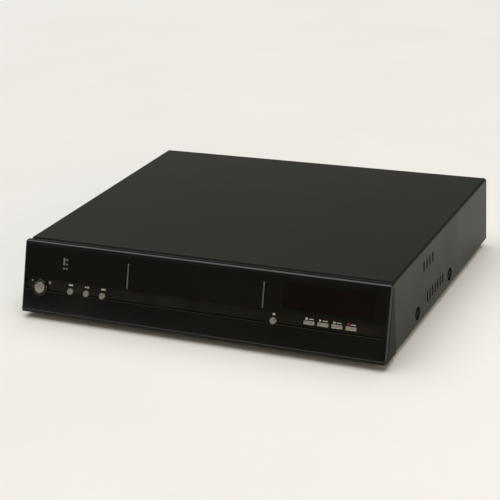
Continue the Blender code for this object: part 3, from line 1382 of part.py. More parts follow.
def power_board():
    """The power board, with its soldered transformer, bulk capacitor and finned heat sink."""
    low, top = up(BOARD_LOW), up(BOARD_TOP)
    root = top - BITE
    bm = bmesh.new()
    far = (POWER_BOARD_RIGHT_X, back(POWER_BOARD_BACK_Y), top)
    block(bm, (POWER_BOARD_LEFT_X, back(POWER_BOARD_FRONT_Y), low), far)
    board = finish("power_board", bm, look("power board tan", (0.22, 0.14, 0.06), 0.6))

    windings = bmesh.new()
    x, y = TRANSFORMER_X, back(TRANSFORMER_Y)
    half = TRANSFORMER_SIDE / 2
    block(windings, (x - half, y - half, root), (x + half, y + half, top + TRANSFORMER_HEIGHT))
    join(board, windings)
    core = bmesh.new()
    wide = TRANSFORMER_CORE / 2
    spread = half + TRANSFORMER_CORE_SPREAD
    rise = top + (TRANSFORMER_HEIGHT - TRANSFORMER_CORE) / 2
    block(core, (x - wide, y - spread, rise), (x + wide, y + spread, rise + TRANSFORMER_CORE))
    join(board, core)

    parts = bmesh.new()
    top_edge = top + CAPACITOR_HEIGHT
    neck = CAPACITOR_GROOVE * 3
    profile = [
        (CAPACITOR_RADIUS, root),
        (CAPACITOR_RADIUS, top_edge - neck),
        (CAPACITOR_RADIUS - CAPACITOR_GROOVE, top_edge - neck + CAPACITOR_GROOVE),
        (CAPACITOR_RADIUS, top_edge - neck + 2 * CAPACITOR_GROOVE),
        (CAPACITOR_RADIUS, top_edge),
    ]
    turned(parts, profile, ROUND, Matrix.Translation((CAPACITOR_X, back(CAPACITOR_Y), 0)))
    prism(parts, sink_outline(), "Z", root, top + SINK_HEIGHT)
    join(board, parts)


def bridge(name, left, right, front, rear, top, surface):
    """A folded bracket: a raised plate on two legs with feet turned outwards."""
    sheet = BRACKET_SHEET
    low = up(FLOOR_TOP) + FIT
    outline = [
        (left - BRACKET_FOOT, low),
        (left + sheet, low),
        (left + sheet, top - sheet),
        (right - sheet, top - sheet),
        (right - sheet, low),
        (right + BRACKET_FOOT, low),
        (right + BRACKET_FOOT, low + sheet),
        (right, low + sheet),
        (right, top),
        (left, top),
        (left, low + sheet),
        (left - BRACKET_FOOT, low + sheet),
    ]
    bm = bmesh.new()
    prism(bm, outline, "Y", back(front), back(rear))
    finish(name, bm, surface)


def hard_disk():
    """The hard disk, its raised lid and connector, and the bracket that holds it up."""
    half = DISK_WIDTH / 2
    low = up(DISK_Z)
    top = low + DISK_HEIGHT - DISK_LID_RAISE
    rear = DISK_FRONT_Y + DISK_LENGTH
    bm = bmesh.new()
    block(bm, (DISK_X - half, back(DISK_FRONT_Y), low), (DISK_X + half, back(rear), top))
    disk = finish("hard_disk", bm, look("cast disk body", (0.45, 0.45, 0.45), 0.35, 0.9))
    lid = bmesh.new()
    inset = DISK_LID_INSET
    first = (DISK_X - half + inset, back(DISK_FRONT_Y + inset), top - BITE)
    block(lid, first, (DISK_X + half - inset, back(rear - inset), top + DISK_LID_RAISE))
    wide = DISK_CONNECTOR_WIDTH / 2
    first = (DISK_X - wide, back(rear) - BITE, low + FIT)
    block(lid, first, (DISK_X + wide, back(rear + DISK_CONNECTOR_DEPTH), low + FIT + DISK_CONNECTOR_HEIGHT))
    join(disk, lid)
    steel = look("bracket steel", (0.52, 0.52, 0.50), 0.35, 1.0)
    over = BRACKET_OVERHANG
    room = BRACKET_END_ROOM
    left, right = DISK_X - half - over, DISK_X + half + over
    bridge("hard_disk_bracket", left, right, DISK_FRONT_Y + room, rear - room, low - FIT, steel)
    half = DRIVE_WIDTH / 2
    front, rear = DRIVE_FRONT_Y + room, DRIVE_BACK_Y - room
    bridge("drive_bracket", DRIVE_X - half, DRIVE_X + half, front, rear, up(DRIVE_LOW) - FIT, steel)


def rack_x():
    """World x of the rack's pitch line, on the tray's left side."""
    return DRIVE_X - TRAY_WIDTH / 2 + RACK_INSET


def drive_housing():
    """The drive's open box, with ledges for the tray and blocks for the guide rods."""
    half = DRIVE_WIDTH / 2
    front, rear = back(DRIVE_FRONT_Y), back(DRIVE_BACK_Y)
    low, top = up(DRIVE_LOW), up(DRIVE_TOP)
    inside = half - DRIVE_WALL
    floor = low + DRIVE_WALL
    bm = bmesh.new()
    block(bm, (DRIVE_X - half, front, low), (DRIVE_X + half, rear, top))
    housing = finish("drive_housing", bm, look("drive body grey", (0.12, 0.12, 0.12), 0.5))
    hollow = bmesh.new()
    left, right = DRIVE_X - inside, DRIVE_X + inside
    block(hollow, (left, front + DRIVE_WALL, floor), (right, rear - DRIVE_WALL, top + OVERRUN))
    cut(housing, hollow)
    mouth = bmesh.new()
    block(mouth, (left, front - OVERRUN, low + DRIVE_SILL), (right, front + OVERRUN, top + 2 * OVERRUN))
    cut(housing, mouth)
    ledges = bmesh.new()
    ledge_top = up(TRAY_LOW) - RUNNING
    for end in (-1, 1):
        near, far = sorted((DRIVE_X + end * (inside - LEDGE_WIDTH), DRIVE_X + end * (inside + BITE)))
        block(ledges, (near, front, ledge_top - LEDGE_THICK), (far, rear - BITE, ledge_top))
    join(housing, ledges)
    posts = bmesh.new()
    gear = Vector((rack_x() + PITCH_RADIUS, back(GEAR_Y), 0))
    gear_top = up(TRAY_LOW) - RUNNING
    profile = [
        (PITCH_RADIUS / 2, floor - BITE),
        (PITCH_RADIUS / 2, gear_top - RACK_DROP),
        (GEAR_POST_RADIUS, gear_top - RACK_DROP),
        (GEAR_POST_RADIUS, gear_top),
    ]
    turned(posts, profile, SMALL, Matrix.Translation(gear))
    side = ROD_BLOCK_SIDE / 2
    rest = floor + SLED_ROD_RISE - SLED_ROD_RADIUS - FIT
    for x in (DRIVE_X - SLED_ROD_X, DRIVE_X + SLED_ROD_X):
        for y in sled_rod_ends():
            block(posts, (x - side, back(y) - side, floor - BITE), (x + side, back(y) + side, rest))
    join(housing, posts)


def sled_rod_ends():
    """Where the guide rods rest: ahead of and behind the sled's run."""
    start = DISC_CENTRE_Y + MOTOR_RADIUS + SLED_GAP
    stop = start + SLED_LENGTH + SLED_TRAVEL
    return DISC_CENTRE_Y - MOTOR_RADIUS - SLED_ROD_END, stop + SLED_ROD_END


def drive_lid():
    """The drive's steel lid, with the round rise over the disc clamp."""
    half = DRIVE_WIDTH / 2
    low = up(DRIVE_TOP) + FIT
    bm = bmesh.new()
    top = low + DRIVE_LID_THICK
    block(bm, (DRIVE_X - half, back(DRIVE_FRONT_Y), low), (DRIVE_X + half, back(DRIVE_BACK_Y), top))
    lid = finish("drive_lid", bm, look("drive lid steel", (0.55, 0.55, 0.53), 0.3, 1.0))
    dome = bmesh.new()
    centre = (DRIVE_X, back(DISC_CENTRE_Y))
    crown = top + DRIVE_DOME_RAISE
    tip = DRIVE_DOME_RADIUS - DRIVE_DOME_RAISE
    rod(dome, (*centre, top - BITE), (*centre, crown), DRIVE_DOME_RADIUS, ROUND, tip)
    join(lid, dome)


def rack_outline():
    """Teeth of the rack, as (x from the pitch line, y from its front end), facing +X.
    It is the tray's travel long, with RACK_SPARE_TEETH over."""
    pitch = math.pi * GEAR_MODULE
    reach = GEAR_MODULE * 4 / 5
    slope = reach * math.tan(GEAR_PRESSURE)
    half = pitch / 4 - GEAR_BACKLASH / 2
    count = math.ceil(TRAY_TRAVEL / pitch) + RACK_SPARE_TEETH
    points = [(-RACK_BODY, 0), (-reach, 0)]
    for tooth in range(count):
        middle = pitch * (tooth + 1 / 2)
        points += [(-reach, middle - half - slope), (reach, middle - half + slope)]
        points += [(reach, middle + half - slope), (-reach, middle + half + slope)]
    return points + [(-reach, pitch * count), (-RACK_BODY, pitch * count)]


def gear_outline():
    """Involute teeth of the loading pinion, with a gap between teeth on its -X side."""
    base = PITCH_RADIUS * math.cos(GEAR_PRESSURE)
    tip = PITCH_RADIUS + GEAR_MODULE * 4 / 5
    root = PITCH_RADIUS - GEAR_MODULE
    pitch_turn = math.tau / GEAR_TEETH
    half_turn = pitch_turn / 4 - GEAR_BACKLASH / 2 / PITCH_RADIUS
    roll = math.tan(GEAR_PRESSURE) - GEAR_PRESSURE
    radii = [base + (tip - base) * step / CORNER_STEPS for step in range(CORNER_STEPS + 1)]
    flank = []
    for radius in radii:
        angle = math.acos(base / radius)
        flank.append((radius, half_turn + roll - (math.tan(angle) - angle)))
    points = []
    for tooth in range(GEAR_TEETH):
        middle = pitch_turn * (tooth + 1 / 2)
        side = [(root, flank[0][1])] + flank
        for radius, turn in [(r, -t) for r, t in side] + side[::-1]:
            points.append((radius * math.cos(middle + turn), radius * math.sin(middle + turn)))
    return points


def disc_tray():
    """The sliding disc tray: two disc steps, the slot for the pickup, and a rack below."""
    half = TRAY_WIDTH / 2
    low, top = up(TRAY_LOW), up(TRAY_TOP)
    front, rear = back(TRAY_FRONT_Y), back(TRAY_BACK_Y)
    centre = (DRIVE_X, back(DISC_CENTRE_Y))
    bm = bmesh.new()
    block(bm, (DRIVE_X - half, front, low), (DRIVE_X + half, rear, top))
    tray = finish("disc_tray", bm, look("tray black", (0.02, 0.02, 0.02), 0.45))
    rack = bmesh.new()
    start = back(rack_front())
    outline = [(rack_x() + x, start + y) for x, y in rack_outline()]
    prism(rack, outline, "Z", low - RACK_DROP + RUNNING, low + BITE)
    join(tray, rack)
    steps = bmesh.new()
    rod(steps, (*centre, top - DISC_STEP), (*centre, top + OVERRUN), DISC_RADIUS, 2 * FINE)
    cut(tray, steps)
    inner = bmesh.new()
    rod(inner, (*centre, top - 2 * DISC_STEP), (*centre, top + OVERRUN), SMALL_DISC_RADIUS, FINE)
    cut(tray, inner)
    slot = bmesh.new()
    radius = TRAY_SLOT_WIDTH / 2
    end = centre[1] + TRAY_SLOT_BACK
    outline = arc(centre, radius, math.pi, math.tau, SMALL)
    outline += [(centre[0] + radius, end), (centre[0] - radius, end)]
    prism(slot, outline, "Z", low - OVERRUN, top + OVERRUN)
    cut(tray, slot)


def rack_front():
    """How far behind the cover's front edge the rack starts, so that a tooth meets the pinion's gap."""
    pitch = math.pi * GEAR_MODULE
    return GEAR_Y - pitch * RACK_SPARE_TEETH / 2


def tray_front():
    """The raked tray door with its neck to the tray, and the two bright strips set in it."""
    half = DOOR_WIDTH / 2
    low, high = door_heights(0)
    near_low, near_high = face_at(low, 0), face_at(high, 0)
    outline = [near_low, near_high, (near_high[0] + DOOR_THICK, high), (near_low[0] + DOOR_THICK, low)]
    bm = bmesh.new()
    prism(bm, outline, "X", DOOR_CENTRE_X - half, DOOR_CENTRE_X + half)
    door = finish("tray_front", bm, look("tray front gloss black", (0.008, 0.008, 0.007), 0.08))
    grooves = bmesh.new()
    inverse = front_plane_matrix()
    for x in strip_places():
        side = STRIP_WIDTH / 2 + FIT
        top = DOOR_TOP + STRIP_END_ROOM - FIT
        end = DOOR_LOW - STRIP_END_ROOM + FIT
        block(grooves, (x - side, -OVERRUN, -end), (x + side, STRIP_SUNK + FIT, -top))
    grooves.transform(inverse)
    cut(door, grooves)
    neck = bmesh.new()
    side = DOOR_NECK_WIDTH / 2
    middle = up(TRAY_LOW + TRAY_THICK / 2)
    start = face_at(middle, 0)[0] + DOOR_THICK - BITE
    thin = DOOR_NECK_THICK / 2
    end = back(TRAY_FRONT_Y) - FIT
    block(neck, (DRIVE_X - side, start, middle - thin), (DRIVE_X + side, end, middle + thin))
    join(door, neck)

    chrome = look("bright strip", (0.75, 0.75, 0.72), 0.12, 1.0)
    for name, x in zip(("tray_left_strip", "tray_right_strip"), strip_places()):
        side = STRIP_WIDTH / 2
        top = DOOR_TOP + STRIP_END_ROOM
        end = DOOR_LOW - STRIP_END_ROOM
        bm = bmesh.new()
        block(bm, (x - side, -STRIP_PROUD, -end), (x + side, STRIP_SUNK, -top))
        rim = [edge for edge in bm.edges if all(vert.co.y < 0 for vert in edge.verts)]
        bmesh.ops.bevel(bm, geom=rim, offset=STRIP_PROUD / 2, segments=2, profile=0.5, affect="EDGES")
        bm.transform(inverse)
        finish(name, bm, chrome)


def strip_places():
    side = DOOR_WIDTH / 2 - STRIP_INSET - STRIP_WIDTH / 2
    return DOOR_CENTRE_X - side, DOOR_CENTRE_X + side


def front_plane_matrix():
    """Takes a place drawn in the plane of the raked face to the world."""
    place = Matrix.Translation((0, back(-TOP_REACH), up(CORNER_HEIGHT)))
    return place @ Matrix.Rotation(-RAKE, 4, "X")


def drive_works():
    """The loading pinion, the spindle motor with its turntable, and the laser sled on its rods."""
    floor = up(DRIVE_LOW) + DRIVE_WALL
    gear_top = up(TRAY_LOW) - RUNNING
    middle = (rack_x() + PITCH_RADIUS, back(GEAR_Y), gear_top - RACK_DROP + FIT)
    bm = bmesh.new()
    prism(bm, gear_outline(), "Z", 0, GEAR_WIDTH)
    pinion = finish("loading_pinion", bm, look("pinion white", (0.6, 0.6, 0.57), 0.5), None, middle)
    bore = bmesh.new()
    rod(bore, (0, 0, -OVERRUN), (0, 0, GEAR_WIDTH + OVERRUN), GEAR_POST_RADIUS + FIT, SMALL)
    cut(pinion, bore)

    centre = (DRIVE_X, back(DISC_CENTRE_Y), 0)
    bm = bmesh.new()
    seat = floor + FIT
    motor_top = seat + MOTOR_HEIGHT
    rod(bm, (0, 0, seat), (0, 0, motor_top), MOTOR_RADIUS, ROUND)
    motor = finish("spindle_motor", bm, look("motor can", (0.50, 0.50, 0.48), 0.3, 1.0), None, centre)
    bore = bmesh.new()
    bottom = motor_top - SPINDLE_SHAFT_LENGTH
    rod(bore, (0, 0, bottom), (0, 0, motor_top + OVERRUN), SPINDLE_SHAFT_RADIUS + FIT, SMALL)
    cut(motor, bore)
    bm = bmesh.new()
    plate = motor_top + RUNNING
    rise = plate + TURNTABLE_THICK
    profile = [
        (SPINDLE_SHAFT_RADIUS, plate - SPINDLE_SHAFT_LENGTH + FIT),
        (SPINDLE_SHAFT_RADIUS, plate),
        (TURNTABLE_RADIUS, plate),
        (TURNTABLE_RADIUS, rise),
        (TURNTABLE_CONE_RADIUS, rise),
        (TURNTABLE_CONE_RADIUS - TURNTABLE_CONE_HEIGHT, rise + TURNTABLE_CONE_HEIGHT),
    ]
    turned(bm, profile, ROUND)
    finish("spindle_turntable", bm, look("turntable black", (0.03, 0.03, 0.03), 0.5), None, centre)

    steel = look("guide rod steel", (0.62, 0.62, 0.60), 0.15, 1.0)
    rod_z = floor + SLED_ROD_RISE
    first, last = sled_rod_ends()
    end_room = ROD_BLOCK_SIDE / 2
    for side, x in (("left", DRIVE_X - SLED_ROD_X), ("right", DRIVE_X + SLED_ROD_X)):
        bm = bmesh.new()
        rod(bm, (x, back(first - end_room), rod_z), (x, back(last + end_room), rod_z), SLED_ROD_RADIUS, SMALL)
        finish(f"{side}_guide_rod", bm, steel)

    half = SLED_WIDTH / 2
    start = back(DISC_CENTRE_Y + MOTOR_RADIUS + SLED_GAP)
    low = floor + SLED_LIFT
    top = low + SLED_HEIGHT
    bm = bmesh.new()
    block(bm, (-half, start, low), (half, start + SLED_LENGTH, top))
    sled = finish("laser_sled", bm, look("sled casting", (0.35, 0.35, 0.36), 0.4, 0.8), None, (DRIVE_X, 0, 0))
    eye = bmesh.new()
    spot = start + SLED_LENGTH / 4
    rod(eye, (0, spot, top - BITE), (0, spot, top + LASER_LENS_RAISE), LASER_LENS_RADIUS, PLAIN)
    join(sled, eye)
    ways = bmesh.new()
    end = start + SLED_LENGTH + OVERRUN
    for x in (-SLED_ROD_X, SLED_ROD_X):
        rod(ways, (x, start - OVERRUN, rod_z), (x, end, rod_z), SLED_ROD_RADIUS + FIT, SMALL)
    cut(sled, ways)


def main():
    clear_scene()
    plane = front_plane()
    fascia_frame(plane)
    front_panel(plane)
    band(plane)
    buttons(plane)
    front_boards(plane)
    front_flap(plane)
    jack_panel()
    tray_front()
    disc_tray()
    drive_housing()
    drive_lid()
    drive_works()
    base_chassis()
    rear_panel()
    top_cover()
    screws()
    feet()
    hard_disk()
    main_board()
    power_board()
    fan()
    mains_inlet()
    aerial_tuner()
    rear_jack_block()
    hdmi_socket()


main()
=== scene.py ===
"""Looks for a disc and hard disk recorder: finishes, soft edges, fine pieces, floor, light and camera."""

import json
import math

import bmesh
import bpy
from bpy.props import FloatProperty, FloatVectorProperty, PointerProperty
from mathutils import Matrix, Vector

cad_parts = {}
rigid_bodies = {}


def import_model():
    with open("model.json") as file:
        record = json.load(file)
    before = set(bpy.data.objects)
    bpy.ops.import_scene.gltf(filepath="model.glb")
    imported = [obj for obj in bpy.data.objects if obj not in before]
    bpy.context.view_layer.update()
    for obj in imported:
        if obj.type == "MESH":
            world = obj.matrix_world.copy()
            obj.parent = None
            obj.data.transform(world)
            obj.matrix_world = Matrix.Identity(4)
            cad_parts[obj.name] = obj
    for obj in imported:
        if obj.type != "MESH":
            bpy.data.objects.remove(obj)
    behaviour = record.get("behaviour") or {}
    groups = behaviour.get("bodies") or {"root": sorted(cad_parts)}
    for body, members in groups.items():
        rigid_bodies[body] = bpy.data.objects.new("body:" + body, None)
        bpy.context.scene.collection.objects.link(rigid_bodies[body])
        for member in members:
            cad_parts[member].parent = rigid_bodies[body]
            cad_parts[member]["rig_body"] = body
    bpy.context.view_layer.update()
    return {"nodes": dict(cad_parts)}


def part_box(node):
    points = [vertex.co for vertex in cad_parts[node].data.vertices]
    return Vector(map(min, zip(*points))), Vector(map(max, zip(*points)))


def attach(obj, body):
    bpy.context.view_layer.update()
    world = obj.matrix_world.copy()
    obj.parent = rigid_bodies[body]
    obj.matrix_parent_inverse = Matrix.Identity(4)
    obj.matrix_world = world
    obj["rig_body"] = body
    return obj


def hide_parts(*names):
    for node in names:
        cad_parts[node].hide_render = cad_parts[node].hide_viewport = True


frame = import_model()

bl_info = {
    "name": "Disc recorder looks",
    "version": (1, 0, 0),
    "blender": (4, 5, 0),
    "location": "3D View > Sidebar > Recorder",
    "description": "Finishes and fine pieces for a disc and hard disk recorder",
    "category": "Object",
}

MM = 0.001
RIGHT = math.pi / 2

# The raked face: x to the right, y into the machine, z up the slope from the top edge.
RAKE = math.radians(18.5)
FACE_REACH = 6 * MM
FACE_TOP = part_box("fascia_frame")[1].z
COVER_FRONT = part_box("top_cover")[0].y
FACE = Matrix.Translation((0, COVER_FRONT - FACE_REACH, FACE_TOP)) @ Matrix.Rotation(-RAKE, 4, "X")

# Places down the face, as in the solids
BAND_SURFACE = 2.0 * MM
SIGN_ROW = 43.6 * MM
BUTTON_ROW = 50.7 * MM
BAR_ROW = 47.6 * MM
BAR_SIGN_ROW = 43.9 * MM
SIGN_THICK = 0.04 * MM
SIGN_LIFT = 0.01 * MM

# Sizes of the fine pieces
BUTTON_PROUD = 0.6 * MM
BUTTON_SKIRT = 2.6 * MM
POWER_PROUD = 1.2 * MM
ROUND_RADIUS = 3.4 * MM
POWER_RADIUS = 6.2 * MM
COLLAR_RADIUS = 9.4 * MM
BARREL_RADIUS = 4.15 * MM
PIN_HOLE_RADIUS = 1.7 * MM
DIN_RADIUS = 5.2 * MM

# How much of a strip's width its rounded front shows, how deep the front's dull rim reaches back,
# and how far down the flap's top edge the dull finish goes
STRIP_SHARE = 0.6
RIM_DEPTH = 5.5 * MM
FLAP_LIP = 2.6 * MM

# Camera of the photograph, and the stage
CAMERA_PLACE = (0.64435, -1.3051, 0.62524)
CAMERA_TURN = (67.904, 3.595, 25.388)
CAMERA_LENS = 98.49
FLOOR_FLAT = 5.0
FLOOR_EDGE = 11.0
FLOOR_RISE = 1.3


def linear(code):
    """Turn an sRGB hex colour into Blender's linear numbers."""
    parts = [int(code[at : at + 2], 16) / 255 for at in (1, 3, 5)]
    return tuple(part / 12.92 if part <= 0.04045 else ((part + 0.055) / 1.055) ** 2.4 for part in parts)


def add(tree, kind, settings=None, links=None):
    """Add one node, with its settings and the sockets that feed it."""
    node = tree.nodes.new(kind)
    for key, value in (settings or {}).items():
        if isinstance(key, str) and hasattr(node, key):
            setattr(node, key, value)
        else:
            node.inputs[key].default_value = value
    for key, source in (links or {}).items():
        tree.links.new(source, node.inputs[key])
    return node


def finish_base(name):
    """An empty material with its shader, its output and Object coordinates."""
    material = bpy.data.materials.new(name)
    material.use_nodes = True
    tree = material.node_tree
    tree.nodes.clear()
    shader = add(tree, "ShaderNodeBsdfPrincipled")
    add(tree, "ShaderNodeOutputMaterial", None, {"Surface": shader.outputs[0]})
    place = add(tree, "ShaderNodeTexCoord")
    return material, tree, shader, place.outputs["Object"]


def mixed(tree, share, dark, light):
    """Blend two tones by a share that runs over the surface."""
    blend = add(
        tree,
        "ShaderNodeMix",
        {"data_type": "RGBA", 6: (*linear(dark), 1), 7: (*linear(light), 1)},
        {0: share},
    )
    return blend.outputs[2]


def coating(
    name, dark, light, rough, grain, depth, cloud=40.0, stretch=(1, 1, 1), cells=0.0, shader_values=None
):
    """A finish with slow tone changes, uneven gloss and a fine grain.

    The grain, cloud and cells are sizes in millimetres, and depth is how deep the grain is in millimetres.
    """
    material, tree, shader, place = finish_base(name)
    for key, value in (shader_values or {}).items():
        shader.inputs[key].default_value = value
    turned_place = add(tree, "ShaderNodeMapping", {"Scale": stretch}, {"Vector": place}).outputs[0]
    slow = add(tree, "ShaderNodeTexNoise", {"Scale": 1 / (cloud * MM), "Detail": 3.0}, {"Vector": place})
    fine = add(
        tree, "ShaderNodeTexNoise", {"Scale": 1 / (grain * MM), "Detail": 4.0}, {"Vector": turned_place}
    )
    share = slow.outputs["Fac"]
    height = fine.outputs["Fac"]
    if cells:
        flakes = add(tree, "ShaderNodeTexVoronoi", {"Scale": 1 / (cells * MM)}, {"Vector": turned_place})
        split = add(tree, "ShaderNodeSeparateColor", None, {0: flakes.outputs["Color"]})
        share = split.outputs[0]
    both = add(
        tree, "ShaderNodeMath", {"operation": "MULTIPLY_ADD", 1: 0.35}, {0: height, 2: share}
    ).outputs[0]
    span = add(
        tree,
        "ShaderNodeMapRange",
        {"From Min": 0.35, "From Max": 0.95, "To Min": 0.0, "To Max": 1.0},
        {0: both},
    ).outputs[0]
    tree.links.new(mixed(tree, span, dark, light), shader.inputs["Base Color"])
    gloss = add(
        tree,
        "ShaderNodeMapRange",
        {"From Min": 0.3, "From Max": 0.7, "To Min": rough[0], "To Max": rough[1]},
        {0: slow.outputs["Fac"]},
    ).outputs[0]
    tree.links.new(gloss, shader.inputs["Roughness"])
    if depth:
        bump = add(
            tree,
            "ShaderNodeBump",
            {"Strength": 1.0, "Distance": depth * MM},
            {"Height": height},
        ).outputs[0]
        tree.links.new(bump, shader.inputs["Normal"])
    return material


def board(name, dark, light, track, ink):
    """A printed circuit board: lacquer over etched tracks, with soldered holes."""
    material, tree, shader, place = finish_base(name)
    tracks = add(
        tree,
        "ShaderNodeTexBrick",
        {
            "offset": 0.37,
            "Scale": 1 / (26 * MM),
            "Mortar Size": 0.012,
            "Mortar Smooth": 0.2,
            "Brick Width": 0.55,
            "Row Height": 0.11,
            "Color1": (*linear(dark), 1),
            "Color2": (*linear(light), 1),
            "Mortar": (*linear(track), 1),
        },
        {"Vector": place},
    )
    holes = add(
        tree, "ShaderNodeTexVoronoi", {"Scale": 1 / (5.2 * MM), "Randomness": 0.55}, {"Vector": place}
    )
    ring = add(
        tree,
        "ShaderNodeMapRange",
        {"From Min": 0.10, "From Max": 0.14, "To Min": 1.0, "To Max": 0.0},
        {0: holes.outputs["Distance"]},
    ).outputs[0]
    spots = add(
        tree,
        "ShaderNodeMix",
        {"data_type": "RGBA", 7: (*linear(ink), 1)},
        {0: ring, 6: tracks.outputs["Color"]},
    ).outputs[2]
    tree.links.new(spots, shader.inputs["Base Color"])
    gloss = add(tree, "ShaderNodeMapRange", {"To Min": 0.42, "To Max": 0.2}, {0: ring}).outputs[0]
    tree.links.new(gloss, shader.inputs["Roughness"])
    bump = add(
        tree, "ShaderNodeBump", {"Strength": 0.6, "Distance": 0.05 * MM}, {"Height": tracks.outputs["Fac"]}
    ).outputs[0]
    tree.links.new(bump, shader.inputs["Normal"])
    return material


METAL = {"Metallic": 1.0}
GLOSS = {
    "IOR": 1.49, "Coat Weight": 0.25, "Coat Roughness": 0.03, "Coat IOR": 1.49, "Specular IOR Level": 0.4
}


def front_finishes():
    """Finishes of the cover and the front, under the names of their slots."""
    found = {}
    # Baked satin paint on steel sheet: near black in itself, it takes its grey from what it mirrors,
    # and its fine orange peel blurs that. The peel is 0.6 mm in reality and is drawn at 1.5 mm.
    found["cover_paint"] = coating(
        "satin_paint_on_steel", "#12140c", "#181a11", (0.35, 0.42), 1.5, 0.012, 90,
        shader_values={"IOR": 1.5, "Specular IOR Level": 0.16},
    )
    # Moulded ABS from a polished tool: the shelf and rims of the front, with crisp bright edges.
    found["fascia_black"] = coating(
        "polished_moulded_abs", "#0b0b09", "#11110e", (0.14, 0.20), 1.2, 0.006, 60,
        shader_values={"IOR": 1.53},
    )
    # The same ABS where the tool is spark-eroded: the ends of the front, dull beside the face.
    # The texture is 0.3 mm in reality and is drawn at 0.8 mm.
    found["fascia_cheek"] = coating(
        "eroded_moulded_abs", "#12120b", "#181810", (0.50, 0.60), 0.8, 0.03, 60,
        shader_values={"IOR": 1.5, "Specular IOR Level": 0.14},
    )
    # And its outer rim, dragged against the tool: almost black from the side.
    found["fascia_rim"] = coating(
        "drawn_moulded_abs", "#080806", "#0c0c09", (0.55, 0.65), 0.8, 0.02, 60,
        shader_values={"IOR": 1.5, "Specular IOR Level": 0.06},
    )
    # Cast acrylic sheet, polished: deep black with a thin clear surface.
    found["panel_gloss"] = coating(
        "piano_black_acrylic", "#0e100a", "#13150e", (0.04, 0.07), 6.0, 0.003, 70, shader_values=GLOSS
    )
    # Moulded ABS, polished, warmer and less deep than the acrylic above it.
    found["band_gloss"] = coating(
        "warm_gloss_moulded_abs", "#15120c", "#1d1a11", (0.09, 0.13), 1.5, 0.006, 40,
        shader_values={"IOR": 1.53},
    )
    # The bevelled edges of the acrylic in a dull, almost black finish: painted shade that draws the dark gap
    # lines round the panel and the tray door.
    found["cut_edge"] = coating(
        "painted_gap_shade_edge", "#020202", "#050504", (0.5, 0.6), 0.6, 0.01, 8,
        shader_values={"Specular IOR Level": 0.2},
    )
    # Lacquered ABS door: glossy with a faint orange peel, drawn at its real 3 mm.
    found["flap_gloss"] = coating(
        "lacquered_abs_door", "#0c0e0a", "#12140f", (0.06, 0.09), 3.0, 0.003, 60, shader_values=GLOSS
    )
    # Polished ABS ring: a small bright turn of light round the power button.
    found["collar_black"] = coating(
        "polished_abs_ring", "#0b0b09", "#121210", (0.08, 0.14), 2.0, 0.004, 20, shader_values=GLOSS
    )
    # Smoked acrylic window: brown-black, and clear enough to show the display glass behind.
    found["smoked_window"] = coating(
        "smoked_acrylic_window", "#160f06", "#23170b", (0.04, 0.07), 8.0, 0.002, 35,
        shader_values={"IOR": 1.49, "Transmission Weight": 0.6},
    )
    # Display tube glass: dark grey-green with the sheen of its inner coating.
    found["display_glass"] = coating(
        "display_tube_glass", "#101816", "#18211e", (0.05, 0.10), 4.0, 0.002, 30, shader_values={"IOR": 1.52}
    )
    # Clear moulded acrylic, frosted where it meets the panel: milky and bright at the tips.
    found["light_pipe"] = coating(
        "frosted_acrylic_light_pipe", "#5f605a", "#777870", (0.35, 0.45), 0.6, 0.01, 5,
        shader_values={"IOR": 1.49, "Subsurface Weight": 0.2, "Subsurface Radius": (0.001, 0.001, 0.001)},
    )
    # Metallic paint on moulded ABS: fine flakes, drawn at 0.5 mm, under a satin top coat.
    found["silver_button"] = coating(
        "silver_paint_on_abs", "#898677", "#a19e8f", (0.24, 0.34), 0.5, 0.012, 3, cells=0.5,
        shader_values={"Metallic": 0.5, "Coat Weight": 0.3, "Coat Roughness": 0.12},
    )
    # Vacuum-metallised ABS: bright, with hair lines along its length.
    found["bright_strip"] = coating(
        "metallised_abs_strip", "#858a85", "#9ea39e", (0.16, 0.24), 0.6, 0.01, 10, (1, 1, 0.05),
        shader_values=METAL,
    )
    return found


